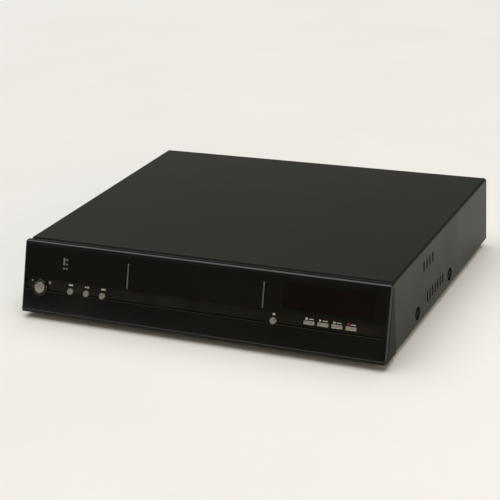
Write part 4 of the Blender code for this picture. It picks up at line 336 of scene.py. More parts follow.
def working_finishes():
    """Finishes of the drive, the metalwork, the fastenings and the feet."""
    found = {}
    # Moulded ABS with a spark-eroded texture, drawn at 0.9 mm: dull, with tiny glints.
    found["tray_black"] = coating(
        "eroded_texture_abs", "#141413", "#1c1c1a", (0.45, 0.58), 0.9, 0.05, 30, shader_values={"IOR": 1.53}
    )
    # Glass-filled moulded polymer of the drive body: grey, slightly streaked along the flow.
    found["drive_grey"] = coating(
        "glass_filled_polymer", "#3b3c3d", "#4a4b4c", (0.45, 0.55), 1.2, 0.03, 12, (1, 0.2, 1),
        shader_values={"IOR": 1.55},
    )
    # Moulded acetal gear: waxy white.
    found["pinion_white"] = coating(
        "moulded_acetal", "#cfcfc8", "#e2e2dc", (0.32, 0.42), 1.0, 0.01, 4, shader_values={"IOR": 1.48}
    )
    # Zinc-plated steel sheet: pale crystals of 7 mm with a rolled grain.
    found["zinc_steel"] = coating(
        "zinc_plated_sheet", "#9b9d9b", "#afb0ad", (0.32, 0.44), 1.0, 0.01, 30, (1, 0.6, 1), 7.0,
        shader_values=METAL,
    )
    # Chromate-treated steel sheet of the rear: greyer and duller than the base.
    found["rear_grey"] = coating(
        "chromate_treated_sheet", "#7b7c79", "#93948f", (0.42, 0.52), 1.2, 0.015, 45, (0.2, 1, 1),
        shader_values={"Metallic": 0.8},
    )
    # Nickel plate on turned brass: warm bright metal with turning lines.
    found["nickel"] = coating(
        "nickel_plated_brass", "#a8a49a", "#c9c5ba", (0.18, 0.28), 0.5, 0.006, 8, (1, 0.2, 1),
        shader_values=METAL,
    )
    # Ground steel rod: bright and slick.
    found["bright_steel"] = coating(
        "ground_steel", "#a3a4a3", "#c4c5c3", (0.12, 0.22), 0.6, 0.004, 10, (1, 0.1, 1), shader_values=METAL
    )
    # Die-cast aluminium: soft grey with the fine pits of the casting skin.
    found["disk_casting"] = coating(
        "die_cast_aluminium", "#8d8e8e", "#a9aaaa", (0.42, 0.55), 1.3, 0.04, 18, shader_values=METAL
    )
    # Blackened steel screws: a dark, dull oxide.
    found["screw_black"] = coating(
        "black_oxide_steel", "#08080a", "#111113", (0.45, 0.55), 0.5, 0.01, 3,
        shader_values={"Specular IOR Level": 0.15},
    )
    # Moulded rubber: dull black with dust in its pores.
    found["rubber"] = coating(
        "moulded_rubber", "#131312", "#1f1f1d", (0.75, 0.88), 1.0, 0.04, 10, shader_values={"IOR": 1.52}
    )
    # Glass-filled black polymer of the fan, with a slight sheen.
    found["fan_black"] = coating(
        "fan_polymer", "#101011", "#181819", (0.36, 0.46), 1.0, 0.02, 14, shader_values={"IOR": 1.55}
    )
    return found


def electric_finishes():
    """Finishes of the boards, the sockets and what is printed."""
    found = {}
    # Printed boards: green lacquer over copper on glass fibre, and plain tan paper board.
    found["board_green"] = board("green_lacquered_board", "#12402a", "#164a31", "#1f6a45", "#c7c2a4")
    found["board_tan"] = board("paper_phenolic_board", "#7d5c33", "#86653b", "#5e431f", "#b9b6a8")
    # Coloured moulded insulators of the sockets: bright, smooth, a little waxy.
    for slot, name, dark, light in (
        ("jack_black", "black_socket_polymer", "#111111", "#191919"),
        ("jack_white", "white_socket_polymer", "#c9c9c2", "#dcdcd6"),
        ("jack_yellow", "yellow_socket_polymer", "#c58a06", "#d99b0c"),
        ("jack_red", "red_socket_polymer", "#8f1210", "#a61a17"),
    ):
        found[slot] = coating(name, dark, light, (0.30, 0.40), 0.8, 0.012, 6, shader_values={"IOR": 1.54})
    # Screen-printed ink: flat, slightly chalky, with uneven edges of tone.
    found["white_ink"] = coating("white_screen_ink", "#c6c7bf", "#dadbd4", (0.5, 0.6), 0.5, 0.004, 3)
    found["red_ink"] = coating("red_screen_ink", "#8e1714", "#a5201c", (0.5, 0.6), 0.5, 0.004, 3)
    # Unlit phosphor behind the display glass: a faint warm grey.
    found["unlit_phosphor"] = coating("unlit_phosphor", "#5a4a38", "#6a5946", (0.6, 0.7), 0.4, 0.004, 4)
    # The large parts on the power board: smooth yellow tape, gritty ferrite, drawn aluminium with lines
    # along its length, and the dull black of moulded epoxy.
    found["winding_tape"] = coating("polyester_winding_tape", "#b8901c", "#c79d26", (0.3, 0.4), 2.0, 0.01, 12)
    found["ferrite"] = coating("sintered_ferrite", "#2a2a2c", "#37373a", (0.5, 0.6), 0.8, 0.03, 8)
    found["extruded_aluminium"] = coating(
        "extruded_aluminium", "#9a9b9b", "#b4b5b5", (0.28, 0.38), 0.6, 0.01, 12, (1, 0.05, 1),
        shader_values=METAL,
    )
    found["chip_epoxy"] = coating("moulded_chip_epoxy", "#17171a", "#202023", (0.5, 0.6), 0.7, 0.02, 8)
    # Gold flash on the contacts inside each socket.
    found["gold_contact"] = coating(
        "gold_flashed_contact", "#b08a3c", "#cda552", (0.2, 0.3), 0.5, 0.004, 4, shader_values=METAL
    )
    return found


def make_finishes(chosen):
    """Every finish of the machine, under the name of its slot in the record."""
    found = {**front_finishes(), **working_finishes(), **electric_finishes()}
    for key, tone in (("cover_paint", chosen.cover_tone), ("silver_button", chosen.button_tone)):
        tint_finish(found[key], tone)
    return found


def tint_finish(material, tone):
    """Multiply both tones of a finish by a tint that the user sets."""
    for node in material.node_tree.nodes:
        if node.bl_idname == "ShaderNodeMix":
            for socket in (6, 7):
                colour = node.inputs[socket].default_value
                node.inputs[socket].default_value = (*(part * tint for part, tint in zip(colour, tone)), 1)


SLOTS = {name: piece.material_slots[0].material.name.split(".")[0] for name, piece in frame["nodes"].items()}
BODIES = {name: piece["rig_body"] for name, piece in frame["nodes"].items()}
FINISHES = {}


def looks():
    """The sizes and colours that the user has set."""
    return bpy.context.scene.recorder_looks


def place_piece(name, bm, finish, body, nodes=(), sharp=35):
    """Turn a finished mesh into a piece that rides on a body."""
    mesh = bpy.data.meshes.new(name)
    bm.to_mesh(mesh)
    bm.free()
    for polygon in mesh.polygons:
        polygon.use_smooth = True
    mesh.set_sharp_from_angle(angle=math.radians(sharp))
    mesh.materials.append(FINISHES[finish])
    piece = bpy.data.objects.new(name, mesh)
    bpy.context.scene.collection.objects.link(piece)
    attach(piece, body)
    if nodes:
        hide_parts(*nodes)
    return piece


def merged_copy(node):
    """A joined-up copy of a CAD node's loose triangles, with flat areas made whole."""
    bm = bmesh.new()
    bm.from_mesh(frame["nodes"][node].data)
    bmesh.ops.remove_doubles(bm, verts=bm.verts, dist=0.002 * MM)
    bmesh.ops.dissolve_limit(
        bm, angle_limit=math.radians(0.6), verts=bm.verts, edges=bm.edges, use_dissolve_boundaries=False
    )
    return bm


def soften(piece, width, segments=2, angle=32):
    """Give a piece's hard edges the small round that moulding or folding leaves."""
    bevel = piece.modifiers.new("soft edges", "BEVEL")
    bevel.width = width
    bevel.segments = segments
    bevel.limit_method = "ANGLE"
    bevel.angle_limit = math.radians(angle)
    bevel.profile = 0.5
    bevel.use_clamp_overlap = True
    return piece


def keep_flats(piece):
    """Let flat faces keep their own shading beside rounded edges."""
    weights = piece.modifiers.new("flat faces", "WEIGHTED_NORMAL")
    weights.keep_sharp = True
    weights.weight = 100
    return piece


def dress(node, width=0.0, segments=2, finish=None, sharp=35):
    """Stand a soft-edged copy in for a CAD node, in its own finish."""
    slot = SLOTS[node]
    piece = place_piece(
        node + "_looks", merged_copy(node), finish or slot, BODIES[node], (node,), sharp
    )
    if width:
        soften(piece, width, segments)
    return keep_flats(piece)


def cut_edges(piece):
    """Give the bevelled edges of a polished sheet a dull, near-black finish: painted shade for the gap line
    round it.
    """
    piece.data.materials.append(FINISHES["cut_edge"])
    piece.modifiers["soft edges"].material = 1


def in_mm(*points):
    """Profile points that are given in millimetres."""
    return [(radius * MM, height * MM) for radius, height in points]


def turned(bm, profile, steps=48):
    """Spin a (radius, height) profile about Z into a closed shape."""
    verts = [bm.verts.new((radius, 0, height)) for radius, height in profile]
    edges = [bm.edges.new(pair) for pair in zip(verts, verts[1:])]
    bmesh.ops.spin(
        bm, geom=verts + edges, cent=(0, 0, 0), axis=(0, 0, 1), angle=math.tau, steps=steps, use_merge=True
    )
    bmesh.ops.remove_doubles(bm, verts=bm.verts, dist=0.001 * MM)
    bmesh.ops.dissolve_degenerate(bm, edges=bm.edges, dist=0.0005 * MM)
    bmesh.ops.recalc_face_normals(bm, faces=bm.faces)


def turned_piece(name, profile, place, finish, body, nodes=(), steps=48, sharp=35):
    """A piece spun from a profile and stood at a place."""
    bm = bmesh.new()
    turned(bm, profile, steps)
    bm.transform(place)
    return place_piece(name, bm, finish, body, nodes, sharp)


def bead(radius, low, high, fillet, steps=4):
    """Profile of a disc with rounded rims: up its side and in to its middle."""
    points = [(0, low), (radius, low), (radius, high - fillet)]
    for step in range(1, steps + 1):
        turn = RIGHT * step / steps
        points.append((radius - fillet + fillet * math.cos(turn), high - fillet + fillet * math.sin(turn)))
    return points


def on_face(x, down, depth=0.0):
    """Where a round piece stands on the raked face, its axis pointing out."""
    return FACE @ Matrix.Translation((x, depth, -down)) @ Matrix.Rotation(RIGHT, 4, "X")


def facing(point, way):
    """Where a round piece stands, its axis pointing along way."""
    turn = Vector((0, 0, 1)).rotation_difference(Vector(way)).to_matrix().to_4x4()
    return Matrix.Translation(point) @ turn


def rounded_box(bm, low, high, fillet, segments=3):
    """Add a box with all its edges rounded."""
    low, high = Vector(low), Vector(high)
    made = bmesh.ops.create_cube(bm, size=1)["verts"]
    bmesh.ops.scale(bm, vec=high - low, verts=made)
    bmesh.ops.translate(bm, vec=(low + high) / 2, verts=made)
    if fillet:
        edges = list({edge for vert in made for edge in vert.link_edges})
        bmesh.ops.bevel(
            bm,
            geom=edges,
            offset=fillet,
            segments=segments,
            profile=0.5,
            affect="EDGES",
            material=-1,
            clamp_overlap=True,
        )


def raise_faces(bm, faces, thick):
    """Give flat faces in the x-z plane a thickness towards the front."""
    out = bmesh.ops.extrude_face_region(bm, geom=faces)["geom"]
    moved = [part for part in out if isinstance(part, bmesh.types.BMVert)]
    bmesh.ops.translate(bm, vec=(0, -thick, 0), verts=moved)
    bmesh.ops.recalc_face_normals(bm, faces=bm.faces)


def flat_shape(bm, corners, thick):
    """Add a flat plate in the x-z plane, with its back at y zero and its front out at minus thick."""
    face = bm.faces.new([bm.verts.new((x, 0, z)) for x, z in corners])
    raise_faces(bm, [face], thick)


def take_in(bm, other):
    """Add a second mesh to the first and drop the second."""
    spare = bpy.data.meshes.new("spare")
    other.to_mesh(spare)
    other.free()
    bm.from_mesh(spare)
    bpy.data.meshes.remove(spare)


def centre(node):
    """The middle of a CAD node's box."""
    low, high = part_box(node)
    return (low + high) / 2


# ---------------------------------------------------------------- the front


def make_front():
    """Dress the front moulding, panels, band, flap, tray door and display."""
    soft = looks().edge_softness
    bm = merged_copy("fascia_frame")
    bmesh.ops.bisect_plane(
        bm,
        geom=[*bm.verts, *bm.edges, *bm.faces],
        dist=0.001 * MM,
        plane_co=FACE @ Vector((0, RIM_DEPTH, 0)),
        plane_no=FACE.to_3x3() @ Vector((0, 1, 0)),
    )
    body = BODIES["fascia_frame"]
    piece = place_piece("fascia_frame_looks", bm, "fascia_black", body, ("fascia_frame",))
    soften(piece, soft)
    keep_flats(piece)
    piece.data.materials.append(FINISHES["fascia_cheek"])
    piece.data.materials.append(FINISHES["fascia_rim"])
    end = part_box("fascia_frame")[1].x - 0.1 * MM
    flat = FACE.inverted()
    for polygon in piece.data.polygons:
        if abs(polygon.normal.x) > 0.95 and abs(polygon.center.x) > end:
            polygon.material_index = 2 if (flat @ polygon.center).y < RIM_DEPTH else 1
    # the panel's bevelled edges carry near-black painted shade for its gap line
    cut_edges(dress("gloss_panel", soft * 1.6))
    dress("band_trim", soft * 0.5)
    piece = dress("front_flap", 0.12 * MM)
    piece.data.materials.append(FINISHES["fascia_cheek"])
    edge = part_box("front_flap")[1].z - FLAP_LIP
    for polygon in piece.data.polygons:
        if polygon.normal.z > 0.5 and polygon.center.z > edge:
            polygon.material_index = 1
    # the tray door's bevelled edges carry near-black painted shade for its gap line
    cut_edges(dress("tray_front", soft * 1.6))
    dress("jack_panel", soft)
    dress("display_lens")
    dress("display_module", soft * 0.6)
    dress("indicator_light_pipe", soft * 0.3)


def make_strips():
    """The two bright strips on the tray door, with rounded fronts."""
    for node in ("tray_left_strip", "tray_right_strip"):
        piece = dress(node, 0.7 * MM, 5, sharp=50)
        middle = centre(node).x
        for vert in piece.data.vertices:
            vert.co.x = middle + (vert.co.x - middle) * STRIP_SHARE


def rim_curve(radius, top, fillet, steps):
    """Profile points of a button's rounded rim, from its side to its top."""
    points = []
    for step in range(1, steps + 1):
        turn = RIGHT * step / steps
        points.append((radius - fillet * (1 - math.cos(turn)), top - fillet * (1 - math.sin(turn))))
    return points


def make_buttons():
    """Silver buttons with softly dished faces, and the ring round the power button."""
    for node in ("round_button_1", "round_button_2", "round_button_3", "open_close_button"):
        profile = [(0, -BUTTON_SKIRT), (ROUND_RADIUS, -BUTTON_SKIRT), (ROUND_RADIUS, BUTTON_PROUD - 0.5 * MM)]
        profile += rim_curve(ROUND_RADIUS, BUTTON_PROUD, 0.5 * MM, 5)
        top = BUTTON_PROUD
        profile += [(2.55 * MM, top), (2.35 * MM, top - 0.6 * MM), (1.45 * MM, top - 0.6 * MM)]
        profile += [(1.3 * MM, top - 0.25 * MM), (0.8 * MM, top - 0.1 * MM), (0, top - 0.05 * MM)]
        place = on_face(centre(node).x, BUTTON_ROW)
        turned_piece(node + "_face", profile, place, "silver_button", node, (node,), steps=56)
    for number in range(1, 5):
        node = f"bar_button_{number}"
        low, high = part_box(node)
        tall = 1.9 * MM
        bm = bmesh.new()
        near = (low.x, -BUTTON_PROUD, -BAR_ROW - tall)
        rounded_box(bm, near, (high.x, BUTTON_SKIRT, -BAR_ROW + tall), 0.55 * MM, 4)
        bm.transform(FACE)
        place_piece(node + "_face", bm, "silver_button", node, (node,))
    profile = [(0, -BUTTON_SKIRT), (POWER_RADIUS, -BUTTON_SKIRT), (POWER_RADIUS, POWER_PROUD - 0.9 * MM)]
    profile += rim_curve(POWER_RADIUS, POWER_PROUD, 0.9 * MM, 6)
    for step in range(5, -1, -1):
        radius = (POWER_RADIUS - 1.2 * MM) * step / 5
        profile.append((radius, POWER_PROUD + 0.18 * MM * (1 - (radius / POWER_RADIUS) ** 2)))
    x = centre("power_button").x
    turned_piece("power_button_face", profile, on_face(x, BUTTON_ROW), "silver_button", "power_button",
                 ("power_button",), steps=72)
    inner = POWER_RADIUS + 0.4 * MM
    ring = [(inner, -3.4 * MM), (COLLAR_RADIUS, -3.4 * MM)]
    middle, half = (inner + COLLAR_RADIUS) / 2, (COLLAR_RADIUS - inner) / 2
    for step in range(0, 13):
        turn = math.pi * step / 12
        ring.append((middle + half * math.cos(turn), 0.1 * MM + 0.9 * MM * math.sin(turn)))
    ring.append((inner, -3.4 * MM))
    turned_piece("power_ring", ring, on_face(x, BUTTON_ROW), "collar_black", BODIES["power_collar"],
                 ("power_collar",), steps=72)


def triangle(x, z, wide, tall, way=1):
    """A play arrow that points right, or left where way is -1."""
    back = x - way * wide / 2
    return [(back, z - tall / 2), (x + way * wide / 2, z), (back, z + tall / 2)][::way]


def oblong(x, z, wide, tall):
    """Corners of an upright oblong."""
    left, right, low, high = x - wide / 2, x + wide / 2, z - tall / 2, z + tall / 2
    return [(left, low), (right, low), (right, high), (left, high)]


def disc_outline(x, z, radius, steps=20):
    """Corners of a dot."""
    return [
        (x + radius * math.cos(math.tau * step / steps), z + radius * math.sin(math.tau * step / steps))
        for step in range(steps)
    ]


def make_signs():
    """Plain transport signs, printed on the band: the sort that any player has."""
    row = -SIGN_ROW
    tall = 2.4 * MM
    arrow = 2.2 * MM
    bar = 0.65 * MM
    first, second, third = (centre(f"round_button_{number}").x for number in (1, 2, 3))
    ejector = centre("open_close_button").x
    white = [
        oblong(first - 2.6 * MM, row, bar, tall),
        triangle(first - 1.2 * MM, row, arrow, tall, -1),
        triangle(first + 0.9 * MM, row, arrow, tall, -1),
        triangle(second - 1.2 * MM, row, arrow, tall),
        oblong(second + 0.9 * MM, row, bar, tall),
        oblong(second + 2.1 * MM, row, bar, tall),
        triangle(third - 0.9 * MM, row, arrow, tall),
        triangle(third + 1.2 * MM, row, arrow, tall),
        oblong(third + 2.6 * MM, row, bar, tall),
        [
            (ejector - 1.7 * MM, row - 0.35 * MM),
            (ejector + 1.7 * MM, row - 0.35 * MM),
            (ejector, row + 1.15 * MM),
        ],
        oblong(ejector, row - 1.0 * MM, 3.4 * MM, 0.6 * MM),
    ]
    bars = [centre(f"bar_button_{number}").x for number in range(1, 5)]
    row = -BAR_SIGN_ROW
    sign = 3.6 * MM
    white += [
        oblong(bars[0] - sign, row, 2.2 * MM, 2.2 * MM),
        triangle(bars[1] - sign, row, 2.4 * MM, 2.5 * MM),
        oblong(bars[2] - sign - 0.7 * MM, row, 0.8 * MM, 2.3 * MM),
        oblong(bars[2] - sign + 0.7 * MM, row, 0.8 * MM, 2.3 * MM),
    ]
    white += [oblong(x + 1.6 * MM, row, 5.2 * MM, 0.8 * MM) for x in bars]
    ground = BAND_SURFACE - SIGN_LIFT
    cabinet = BODIES["band_trim"]
    bm = bmesh.new()
    for corners in white:
        flat_shape(bm, corners, SIGN_THICK)
    power = centre("power_button").x
    ring = bmesh.new()
    ends = [ring.verts.new((0, 0, radius)) for radius in (0.95 * MM, 1.35 * MM)]
    edge = ring.edges.new(ends)
    start, sweep = math.radians(35), math.radians(290)
    bmesh.ops.rotate(ring, cent=(0, 0, 0), matrix=Matrix.Rotation(start, 3, "Y"), verts=ends)
    bmesh.ops.spin(ring, geom=ends + [edge], cent=(0, 0, 0), axis=(0, 1, 0), angle=sweep, steps=24)
    raise_faces(ring, list(ring.faces), SIGN_THICK)
    ring.transform(Matrix.Translation((power + 11.4 * MM, 0, -SIGN_ROW - 0.6 * MM)))
    take_in(bm, ring)
    flat_shape(bm, oblong(power + 11.4 * MM, -SIGN_ROW + 0.5 * MM, 0.42 * MM, 1.5 * MM), SIGN_THICK)
    flat_shape(bm, disc_outline(power - 11.2 * MM, -SIGN_ROW - 0.2 * MM, 0.7 * MM), SIGN_THICK)
    bm.transform(FACE @ Matrix.Translation((0, ground, 0)))
    place_piece("white_signs", bm, "white_ink", cabinet)
    bm = bmesh.new()
    flat_shape(bm, disc_outline(bars[3] - sign, row, 1.3 * MM), SIGN_THICK)
    bm.transform(FACE @ Matrix.Translation((0, ground, 0)))
    place_piece("record_sign", bm, "red_ink", cabinet)


# ---------------------------------------------------------------- the display


def make_display():
    """Unlit figures and bars on the display tube, seen dimly through the window."""
    front = 7.6 * MM
    bm = bmesh.new()
    tall, wide, line = 8.0 * MM, 4.6 * MM, 0.7 * MM
    middle = -23.0 * MM
    for digit in range(6):
        x = 124 * MM + digit * 7.4 * MM + (digit // 2) * 3.0 * MM
        for side in (-1, 1):
            for part in (-1, 1):
                upright = oblong(x + side * wide / 2, middle + part * tall / 4, line, tall / 2 - line)
                flat_shape(bm, upright, SIGN_THICK)
        for part in (-1, 0, 1):
            flat_shape(bm, oblong(x, middle + part * tall / 2, wide - line, line), SIGN_THICK)
        if digit in (1, 3):
            for part in (-1, 1):
                flat_shape(bm, oblong(x + 5.2 * MM, middle + part * 1.8 * MM, 0.9 * MM, 0.9 * MM), SIGN_THICK)
    for step in range(14):
        flat_shape(bm, oblong((110 + step * 5.6) * MM, middle - 8.2 * MM, 3.6 * MM, 1.1 * MM), SIGN_THICK)
    bm.transform(FACE @ Matrix.Translation((0, front - 1.2 * MM, 0)))
    place_piece("display_figures", bm, "unlit_phosphor", BODIES["display_module"])


# ---------------------------------------------------------------- the cover, screws and feet


def make_cover():
    """The folded steel cover with rounded folds and crisp punched vents."""
    low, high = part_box("top_cover")
    side_rim, side_roll = 2.4 * MM, 3.0 * MM
    fold = 3.0 * MM
    lip, step, drop = 3.4 * MM, 2.2 * MM, 2.2 * MM
    bm = merged_copy("top_cover")
    for into in (0.6, 1.2, 1.8, 2.4, 3.0, 3.4, 3.8, 4.2, 4.5, 4.8, 5.2, 5.6):
        bmesh.ops.bisect_plane(
            bm,
            geom=[*bm.verts, *bm.edges, *bm.faces],
            dist=0.001 * MM,
            plane_co=(0, low.y + into * MM, 0),
            plane_no=(0, 1, 0),
        )
    for vert in bm.verts:
        into = vert.co.y - low.y
        down = 0.5 + 0.5 * math.cos(math.pi * min(max((into - lip) / step, 0), 1))
        share = min(max((vert.co.z - high.z + fold) / fold, 0), 1)
        vert.co.z -= share * drop * down
        if into < side_rim and abs(vert.co.x) > high.x - fold:
            inset = side_roll - math.sqrt(side_roll**2 - (side_rim - into) ** 2)
            vert.co.x -= math.copysign(inset, vert.co.x)
    body = BODIES["top_cover"]
    piece = place_piece("top_cover_looks", bm, "cover_paint", body, ("top_cover",), 34)
    soften(piece, 0.2 * MM, 2, 40)
    keep_flats(piece)


def make_screws():
    """Cross-head screws with domed heads."""
    for place in ("left_front", "left_back", "right_front", "right_back", "rear_left", "rear_right"):
        dress(f"{place}_screw", 0.12 * MM, 2, sharp=40)


def make_feet():
    """Round rubber feet with a moulded ring and a screw well."""
    for node in ("front_left_foot", "front_right_foot", "back_left_foot", "back_right_foot"):
        middle = centre(node)
        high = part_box(node)[1].z
        profile = in_mm((0, 4.0), (5.4, 4.0), (6.0, 3.4), (6.0, 0.5), (6.5, 0))
        profile += in_mm((9.6, 0), (9.9, 0.35), (10.3, 0.35), (10.6, 0), (11.4, 0))
        for step in range(1, 6):
            turn = RIGHT * step / 5
            profile.append((11.4 * MM + 1.8 * MM * math.sin(turn), 1.8 * MM * (1 - math.cos(turn))))
        profile += [(14.0 * MM, 3.4 * MM), (14.0 * MM, high - 1.6 * MM), (13.7 * MM, high - 1.2 * MM)]
        profile += [(13.7 * MM, high), (0, high)]
        turned_piece(node + "_rubber", profile, Matrix.Translation((middle.x, middle.y, 0)), "rubber",
                     BODIES[node], (node,), steps=64)
        head = in_mm((0, 1.9), (1.0, 2.0), (3.0, 2.3), (3.8, 3.0), (3.8, 4.1), (0, 4.1))
        turned_piece(node + "_screw", head, Matrix.Translation((middle.x, middle.y, 0)), "bright_steel",
                     BODIES[node], steps=32)


# ---------------------------------------------------------------- sockets


def pin_jack(name, place, reach, colour, body, nodes=(), back=2.2 * MM):
    """A pin jack: a plated barrel round a coloured insulator with a gold contact."""
    outer, inner = BARREL_RADIUS, BARREL_RADIUS - 0.55 * MM
    barrel = [(inner, -back), (outer, -back), (outer, reach - 0.5 * MM)]
    barrel += [(outer - 0.4 * MM, reach), (inner, reach), (inner, -back)]
    turned_piece(name + "_barrel", barrel, place, "nickel", body, steps=40)
    seat = reach - 0.7 * MM
    plug = [(PIN_HOLE_RADIUS, -back), (inner - 0.02 * MM, -back), (inner - 0.02 * MM, seat - 0.2 * MM),
            (inner - 0.3 * MM, seat), (PIN_HOLE_RADIUS + 0.25 * MM, seat), (PIN_HOLE_RADIUS, seat - 0.3 * MM),
            (PIN_HOLE_RADIUS, -back)]
    turned_piece(name + "_insulator", plug, place, colour, body, nodes, steps=40)
    bore, top = PIN_HOLE_RADIUS - 0.3 * MM, seat - 1.0 * MM
    contact = [(bore, -back), (PIN_HOLE_RADIUS, -back), (PIN_HOLE_RADIUS, top), (bore, top), (bore, -back)]
    turned_piece(name + "_contact", contact, place, "gold_contact", body, steps=24)


def make_front_jacks():
    """The four sockets behind the flap."""
    wall = COVER_FRONT - 12 * MM
    for node, colour in (("front_video_jack", "jack_yellow"), ("front_audio_left_jack", "jack_white"),
                         ("front_audio_right_jack", "jack_red")):
        low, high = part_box(node)
        middle = (low + high) / 2
        place = facing((middle.x, wall, middle.z), (0, -1, 0))
        pin_jack(node, place, wall - low.y, colour, BODIES[node], (), 0.0)
        bore, rim = BARREL_RADIUS + 0.02 * MM, BARREL_RADIUS + 1.5 * MM
        flange = [(bore, 1.5 * MM), (rim, 1.5 * MM), (rim, 1.9 * MM), (BARREL_RADIUS + 1.2 * MM, 2.1 * MM)]
        flange += [(bore, 2.1 * MM), (bore, 1.5 * MM)]
        turned_piece(node + "_flange", flange, place, colour, BODIES[node], steps=40)
        bm = bmesh.new()
        rounded_box(bm, (low.x, wall + 0.3 * MM, low.z), (high.x, high.y, high.z), 0.4 * MM)
        place_piece(node + "_body", bm, "jack_black", BODIES[node], (node,))
    node = "front_s_video_jack"
    low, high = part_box(node)
    middle = (low + high) / 2
    reach = wall - low.y
    place = facing((middle.x, wall, middle.z), (0, -1, 0))
    shell = [(4.6 * MM, 0), (DIN_RADIUS, 0), (DIN_RADIUS, reach - 0.3 * MM), (DIN_RADIUS - 0.3 * MM, reach),
             (4.6 * MM, reach), (4.6 * MM, 0)]
    turned_piece(node + "_shell", shell, place, "nickel", BODIES[node], steps=48)
    bm = bmesh.new()
    insert = [(0, 0), (4.55 * MM, 0), (4.55 * MM, reach - 1.0 * MM)]
    insert += [(4.3 * MM, reach - 0.8 * MM), (0, reach - 0.8 * MM)]
    turned(bm, insert, 40)
    bm.transform(place)
    near = (low.x + 0.2 * MM, wall + 0.3 * MM, low.z + 0.3 * MM)
    rounded_box(bm, near, (high.x - 0.2 * MM, high.y, high.z - 0.3 * MM), 0.4 * MM)
    place_piece(node + "_insert", bm, "jack_black", BODIES[node], (node,))
    holes = bmesh.new()
    for turn in (45, 135, 225, 315):
        made = bmesh.ops.create_cone(
            holes, cap_ends=True, segments=16, radius1=0.7 * MM, radius2=0.7 * MM, depth=0.1 * MM
        )["verts"]
        angle = math.radians(turn)
        step = (2.4 * MM * math.cos(angle), 2.4 * MM * math.sin(angle), reach - 0.78 * MM)
        bmesh.ops.translate(holes, vec=step, verts=made)
    holes.transform(place)
    place_piece(node + "_holes", holes, "gold_contact", BODIES[node])


def make_rear():
    """The rear sheet and everything that shows through it."""
    dress("rear_panel", 0.12 * MM, 2)
    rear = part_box("rear_panel")[1].y
    block_low, block_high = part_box("rear_jack_block")
    body = BODIES["rear_jack_block"]
    bm = bmesh.new()
    rounded_box(bm, block_low, (block_high.x, rear - 1.5 * MM, block_high.z), 0.4 * MM)
    place_piece("rear_jack_body", bm, "jack_black", body, ("rear_jack_block",))
    colours = ("jack_red", "jack_white", "jack_yellow")
    for column in range(4):
        for row in range(3):
            x = block_low.x + 7 * MM + 14 * MM * column
            z = block_low.z + 7 * MM + 14 * MM * row
            colour = "jack_black" if column == 3 and row == 0 else colours[row]
            place = facing((x, rear, z), (0, 1, 0))
            pin_jack(f"rear_jack_{column + 1}_{row + 1}", place, 8.5 * MM, colour, body, (), 1.5 * MM)
            bore, rim = BARREL_RADIUS + 0.02 * MM, BARREL_RADIUS + 1.3 * MM
            washer = [(bore, 0.01 * MM), (rim, 0.01 * MM), (rim, 0.5 * MM), (rim - 0.3 * MM, 0.8 * MM)]
            washer += [(bore, 0.8 * MM), (bore, 0.01 * MM)]
            turned_piece(f"rear_collar_{column + 1}_{row + 1}", washer, place, colour, body, steps=40)
    make_aerial_terminals(rear)
    make_inlet(rear)
    make_digital_socket(rear)
    dress("fan_frame", 0.5 * MM, 3)


def make_aerial_terminals(rear):
    """Two threaded barrels with nuts on a plated can."""
    low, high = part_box("aerial_tuner")
    body = BODIES["aerial_tuner"]
    bm = bmesh.new()
    rounded_box(bm, low, (high.x, rear - 1.5 * MM, high.z), 0.3 * MM)
    place_piece("tuner_can", bm, "nickel", body, ("aerial_tuner",))
    middle = (low.x + high.x) / 2
    for number, rise in enumerate((8 * MM, 30 * MM)):
        place = facing((middle, rear, low.z + rise), (0, 1, 0))
        profile = [(0.9 * MM, -1.5 * MM), (4.7 * MM, -1.5 * MM), (4.7 * MM, 1.6 * MM)]
        crest, root, pitch = 4.7 * MM, 4.35 * MM, 0.8 * MM
        height = 1.6 * MM
        while height < 9.0 * MM:
            profile += [(root, height + pitch / 4), (root, height + pitch / 2)]
            profile += [(crest, height + pitch * 3 / 4), (crest, height + pitch)]
            height += pitch
        profile += [(4.0 * MM, 10.0 * MM), (2.9 * MM, 10.0 * MM), (2.7 * MM, 9.4 * MM), (0.9 * MM, 9.4 * MM),
                    (0.9 * MM, -1.5 * MM)]
        turned_piece(f"aerial_terminal_{number + 1}", profile, place, "nickel", body, steps=40)
        nut = bmesh.new()
        bmesh.ops.create_cone(
            nut, cap_ends=True, segments=6, radius1=6.2 * MM, radius2=6.2 * MM, depth=1.4 * MM
        )
        bmesh.ops.bevel(
            nut, geom=list(nut.edges), offset=0.2 * MM, segments=2, profile=0.5, affect="EDGES", material=-1
        )
        nut.transform(place @ Matrix.Translation((0, 0, 0.75 * MM)))
        place_piece(f"aerial_nut_{number + 1}", nut, "nickel", body)


def make_inlet(rear):
    """The mains inlet with its two pins."""
    dress("mains_inlet", 0.3 * MM, 2)
    low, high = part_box("mains_inlet")
    middle = (low + high) / 2
    for side in (-1, 1):
        pin = in_mm((0, 0), (1.25, 0), (1.25, 8.6), (0.95, 9.4), (0, 9.6))
        place = facing((middle.x + side * 4.3 * MM, rear - 12.5 * MM, middle.z), (0, 1, 0))
        turned_piece(f"inlet_pin_{'left' if side < 0 else 'right'}", pin, place, "bright_steel",
                     BODIES["mains_inlet"], steps=24)


def make_digital_socket(rear):
    """The digital picture socket with its tongue."""
    dress("hdmi_socket", 0.12 * MM, 2)
    low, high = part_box("hdmi_socket")
    bm = bmesh.new()
    x, z = (low.x + high.x) / 2, high.z - 2.8 * MM
    near = (x - 5.1 * MM, rear - 9 * MM, z - 0.9 * MM)
    rounded_box(bm, near, (x + 5.1 * MM, rear - 0.45 * MM, z + 0.9 * MM), 0.15 * MM)
    place_piece("digital_socket_tongue", bm, "jack_black", BODIES["hdmi_socket"])


